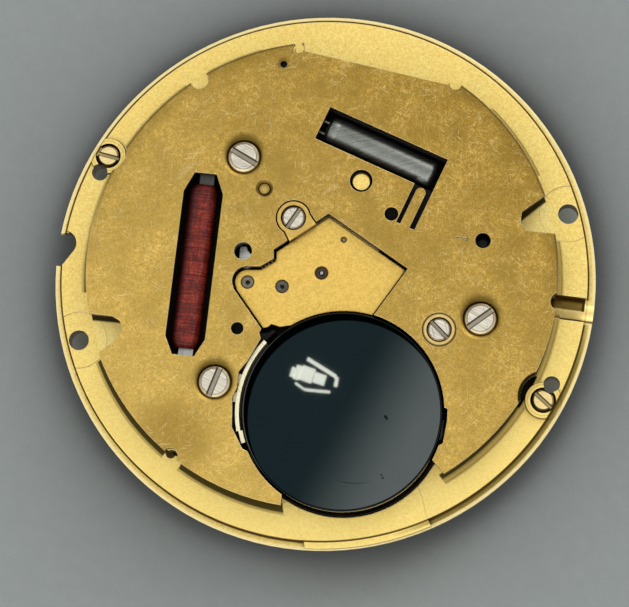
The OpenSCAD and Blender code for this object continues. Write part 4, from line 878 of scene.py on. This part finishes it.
def make_materials():
    plate_gilt("plate_gilt")
    handled_gilt("cover_gilt", (0.95, 0.64, 0.165), (0.45, 0.278, 0.047), (0.30, 0.185, 0.030), 0.45)
    bridge_gilt("bridge_gilt")
    worked_steel("screw_steel", (1.0, 0.94, 0.80), (0.60, 0.54, 0.42), 0.40, 20,
                 heads=COVER_HEADS + [CONTACT_HEAD, BRIDGE_HEAD], crevice_shade=0.55)
    worked_steel("screw_gilt", (1.0, 0.83, 0.42), (0.90, 0.68, 0.28), 0.46, -20, heads=FOOT_HEADS,
                 bevel=(0.80, 0.62, 0.30), wear_and_shade=[(*CONTACT_HEAD[:2], BUSH_R)])
    worked_steel("contact_gilt", (1.0, 0.97, 0.74), (0.95, 0.86, 0.54), 0.5, 80, crevice_shade=0.4)
    jewelled("jewel")
    wound("coil_wire")
    # Painted shade on the core, deepening towards the picture's top
    worked_steel("core_steel", (0.80, 0.79, 0.74), (0.52, 0.51, 0.47), 0.5, 90, fade=(0, -1, -3.2, 2.0))
    # Painted shade on the stator outside the hole that shows it
    worked_steel("stator_steel", (1.0, 0.98, 0.92), (0.85, 0.84, 0.78), 0.3, 15, crevice_shade=0.0, shown=STATOR_HOLE)
    worked_steel("magnet", (0.30, 0.30, 0.31), (0.18, 0.18, 0.19), 0.4, 0)
    # Painted shade, nearly black, where the jewels' holes show the pinions
    worked_steel("pinion_steel", (0.78, 0.78, 0.76), (0.55, 0.55, 0.54), 0.25, 0,
                 spots=[(*place, 0.2) for place in JEWELS[:2]])
    worked_steel("train_brass", (0.92, 0.70, 0.28), (0.75, 0.54, 0.19), 0.35, 10)
    moulded("carrier_black", (0.008, 0.007, 0.007), (0.005, 0.004, 0.004), 0.6, Specular_IOR_Level=0.12)
    moulded("board_lacquer", (0.010, 0.017, 0.014), (0.006, 0.010, 0.009), 0.45, Specular_IOR_Level=0.15)
    moulded("chip_black", (0.016, 0.016, 0.017), (0.010, 0.010, 0.011), 0.5)
    worked_steel("crystal_steel", (0.33, 0.34, 0.31), (0.17, 0.18, 0.16), 0.42, CAN_TURN)
    worked_steel("lead_tin", (0.7, 0.66, 0.55), (0.5, 0.46, 0.38), 0.35, 0)
    mirror_steel("cell_steel")
    worked_steel("cell_cap_steel", (0.66, 0.68, 0.68), (0.5, 0.52, 0.52), 0.3, 0)
    moulded("gasket_nylon", (0.05, 0.08, 0.22), (0.04, 0.06, 0.16), 0.4)
    # Painted shade on the top of the release pin
    worked_steel("works_steel", (0.62, 0.62, 0.62), (0.42, 0.42, 0.42), 0.3, 40, spots=[RELEASE_SPOT])
    moulded("date_white", (0.82, 0.81, 0.76), (0.74, 0.73, 0.67), 0.35, depth=0.002)


def dress(node, material):
    for place in frame["nodes"][node].material_slots:
        place.material = material


# Meshes, made from points in millimetres

def new_piece(name, mesh, body, slot, replaced=()):
    """An object made of a mesh in metres, on its CAD body and in its finish."""
    piece = bpy.data.objects.new(name, mesh)
    bpy.context.scene.collection.objects.link(piece)
    mesh.materials.append(finishes[slot])
    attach(piece, body)
    if replaced:
        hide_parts(*replaced)


def mesh_of(name, points, faces, matrix):
    """A smooth mesh from points in millimetres, moved by the matrix, with its faces turned outwards."""
    mesh = bpy.data.meshes.new(name)
    mesh.from_pydata([(matrix @ Vector(p)) * MM for p in points], [], faces)
    work = bmesh.new()
    work.from_mesh(mesh)
    bmesh.ops.recalc_face_normals(work, faces=work.faces)
    for face in work.faces:
        face.smooth = True
    work.to_mesh(mesh)
    work.free()
    return mesh


def lathe(profile, turns):
    """Points and faces of a profile of (radius, height) turned about Z. A zero radius closes to a point."""
    points, rings, faces = [], [], []
    for r, z in profile:
        if r < 1e-6:
            rings.append([len(points)] * turns)
            points.append((0, 0, z))
        else:
            rings.append([len(points) + i for i in range(turns)])
            points += [(*on_circle(r, 360 * i / turns), z) for i in range(turns)]
    for a, b in zip(rings, rings[1:]):
        for i in range(turns):
            k = (i + 1) % turns
            corners = [a[i], a[k], b[k], b[i]]
            face = [c for n, c in enumerate(corners) if c not in corners[:n]]
            if len(face) > 2:
                faces.append(face)
    return points, faces


def arc_profile(cx, cz, r, start, end, steps):
    """Points of (radius, height) on an arc between two angles in degrees."""
    arc = [on_circle(r, start + (end - start) * i / steps) for i in range(steps + 1)]
    return [(cx + x, cz + z) for x, z in arc]


def at_place(x, y, z=0.0, turn=0.0):
    return Matrix.Translation((x, y, z)) @ Matrix.Rotation(math.radians(turn), 4, "Z")


def make_battery():
    """The cell's can, with a smooth rolled shoulder that is sharper than its solid's."""
    bend = CELL_ROUND * 0.3
    profile = [(0, CELL_TOP), (CELL_R - bend - 0.05, CELL_TOP)]
    profile += arc_profile(CELL_R - bend, CELL_TOP - bend, bend, 88, 0, 10)
    profile += [(CELL_R - inset, CELL_Z + up) for inset, up in CELL_CRIMP]
    points, faces = lathe(profile, 192)
    new_piece("cell_can", mesh_of("cell_can", points, faces, at_place(*CELL)), "battery", "cell_steel",
              ["battery_can"])


def make_coil():
    """The winding as laid turns: each ring of points swells and sinks with its turn, and no two turns are alike."""
    rng = random.Random(11)
    turns, steps = 120, 4
    corner, corner_steps = 0.42, 6
    # The winding is a little wider than its solid, and lies this far to the left in its slot
    half, to_left = COIL_W / 2 + 0.035, 0.12
    mid_z = (COIL_LOW + COIL_HIGH) / 2
    tall = (COIL_HIGH - COIL_LOW) / 2
    # Both ends fall off by this much over so many turns
    fall, fall_turns = 0.14, 5.0
    outline = []
    for cx, cz, start in ((half - corner, tall - corner, 0), (corner - half, tall - corner, 90),
                          (corner - half, corner - tall, 180), (half - corner, corner - tall, 270)):
        outline += arc_profile(cx, cz, corner, start, start + 90, corner_steps)
    points, faces, rings = [], [], []
    for t in range(turns * steps + 1):
        along = -COIL_L / 2 + COIL_L * t / (turns * steps)
        phase = t % steps
        if phase == 0:
            layer = rng.uniform(-0.014, 0.0)
            lean = rng.uniform(-0.010, 0.010)
        swell = layer - 0.010 * (phase == 0) + 0.003 * (phase == 2)
        end = min(t, turns * steps - t) / steps
        swell -= fall * max(0, 1 - end / fall_turns) ** 2
        ring = []
        for x, z in outline:
            k = 1 + swell / max(abs(x), abs(z), 0.2)
            ring.append(len(points))
            points.append((x * k, along + lean * x / half, mid_z + z * k))
        rings.append(ring)
    count = len(outline)
    for a, b in zip(rings, rings[1:]):
        faces += [[a[i], a[(i + 1) % count], b[(i + 1) % count], b[i]] for i in range(count)]
    faces += [rings[0], rings[-1][::-1]]
    mesh = mesh_of("coil_turns", points, faces, at_place(COIL_AT[0] - to_left, COIL_AT[1], 0, COIL_TURN))
    new_piece("coil_turns", mesh, "movement", "coil_wire", ["coil_winding"])


def make_crystal():
    """The crystal's drawn can: a rounded closed end and a crimped end with its glass plug."""
    bend, half = 0.26, CAN_L / 2
    profile = [(0, half)] + arc_profile(CAN_R - bend, half - bend, bend, 90, 0, 10)
    profile += [(CAN_R - inset, up - half) for inset, up in CAN_CRIMP]
    points, faces = lathe(profile, 72)
    lie = at_place(*CAN_MID, CAN_Z, CAN_TURN) @ Matrix.Rotation(math.radians(90), 4, "Y")
    new_piece("crystal_can", mesh_of("crystal_can", points, faces, lie), "movement", "crystal_steel",
              ["quartz_crystal"])


def make_date_figures():
    """The figures 1 to 31, printed on the dial side of the date ring."""
    radius, height, narrow, thick = 10.28, 1.15, 0.86, 0.006
    work = bmesh.new()
    for day in range(1, 32):
        turn = math.radians(DATE_PHASE + 360 / 31 * day)
        text = bpy.data.curves.new("figure", "FONT")
        text.body = str(day)
        text.size = height
        text.extrude = thick / 2
        text.align_x = "CENTER"
        text.align_y = "CENTER"
        holder = bpy.data.objects.new("figure", text)
        bpy.context.scene.collection.objects.link(holder)
        bpy.context.view_layer.update()
        mesh = bpy.data.meshes.new_from_object(holder.evaluated_get(bpy.context.evaluated_depsgraph_get()))
        out = Vector((math.cos(turn), math.sin(turn), 0))
        up = Vector((math.sin(turn), -math.cos(turn), 0))
        place = Matrix((out * narrow, up, Vector((0, 0, -1)))).transposed().to_4x4()
        place.translation = out * radius + Vector((0, 0, DATE_FACE - thick / 2))
        mesh.transform(Matrix.Scale(MM, 4) @ place)
        work.from_mesh(mesh)
        bpy.data.objects.remove(holder)
        bpy.data.curves.remove(text)
        bpy.data.meshes.remove(mesh)
    mesh = bpy.data.meshes.new("date_figures")
    work.to_mesh(mesh)
    work.free()
    new_piece("date_figures", mesh, "date", "chip_black")


def make_floor():
    """A plain grey floor just under the hand posts, with a painted shadow round the part and painted pale light where
    its four holes show it.

    Light that comes from below passes it. Under the part only the camera sees it, so that the dial side is lit.
    """
    half, gap, depth = 2.0, 0.00002, 2.0
    z = cad_box[0].z - gap
    mesh = bpy.data.meshes.new("floor")
    mesh.from_pydata([(-half, -half, z), (half, -half, z), (half, half, z), (-half, half, z)], [], [(0, 1, 2, 3)])
    floor = bpy.data.objects.new("floor", mesh)
    bpy.context.scene.collection.objects.link(floor)
    f = Finish("floor_grey", metallic=0.0, roughness=0.8)
    weave = f.noise(2.0, detail=5.0)
    grain = f.noise(1.1, detail=4.0, roughness=0.7)
    f.colour = f.mix(f.span(weave, 0.3, 0.7), (0.214, 0.234, 0.226), (0.226, 0.247, 0.238))
    f.paint(f.span(grain, 0.35, 0.65), 0.5, (0.200, 0.220, 0.215))
    # Painted shadow of the part round it
    f.paint(f.span(f.crevice(11.0), 0.65, 1.0, 1.0, 0.0), 1.0, (0.052, 0.058, 0.060))
    # A hole shows the floor where the camera's line through it lands, depth millimetres below the ring's top
    holes = []
    for x, y in CLAMPS + FOOT_HOLES:
        hole = Vector((x, y, 0))
        seen = hole + (hole - to_part(*STAND, 0)) * (depth / STAND_HEIGHT)
        holes.append(f.within(0.75, seen.x, seen.y))
    # Painted light where the holes show the floor, brighter to the right
    pale = f.mix(f.span(f.toward(1, 0), -9.0, 9.0), (0.17, 0.185, 0.175), (0.26, 0.285, 0.27))
    f.paint(f.every(f.most(*holes), f.within(FLANGE_R - 0.3, 0, 0)), 1.0, pale)
    f.done()
    mesh.materials.append(f.material)
    back = f.add("ShaderNodeNewGeometry").outputs["Backfacing"]
    camera = f.add("ShaderNodeLightPath").outputs["Is Camera Ray"]
    unseen = f.every(f.within(FLANGE_R - 0.6, 0, 0), f.math("SUBTRACT", 1.0, camera))
    either = f.add("ShaderNodeMixShader")
    f.put(either.inputs[0], f.most(back, unseen))
    f.put(either.inputs[1], f.shader.outputs[0])
    f.put(either.inputs[2], f.add("ShaderNodeBsdfTransparent").outputs[0])
    f.put(f.output.inputs["Surface"], either.outputs[0])


def main():
    bpy.context.scene.view_settings.view_transform = "Standard"
    make_camera()
    make_light()
    make_materials()
    for part in frame["record"]["subparts"]:
        dress(part["node"], finishes[part["material_slot"]])
    make_battery()
    make_coil()
    make_crystal()
    make_date_figures()
    make_floor()


main()
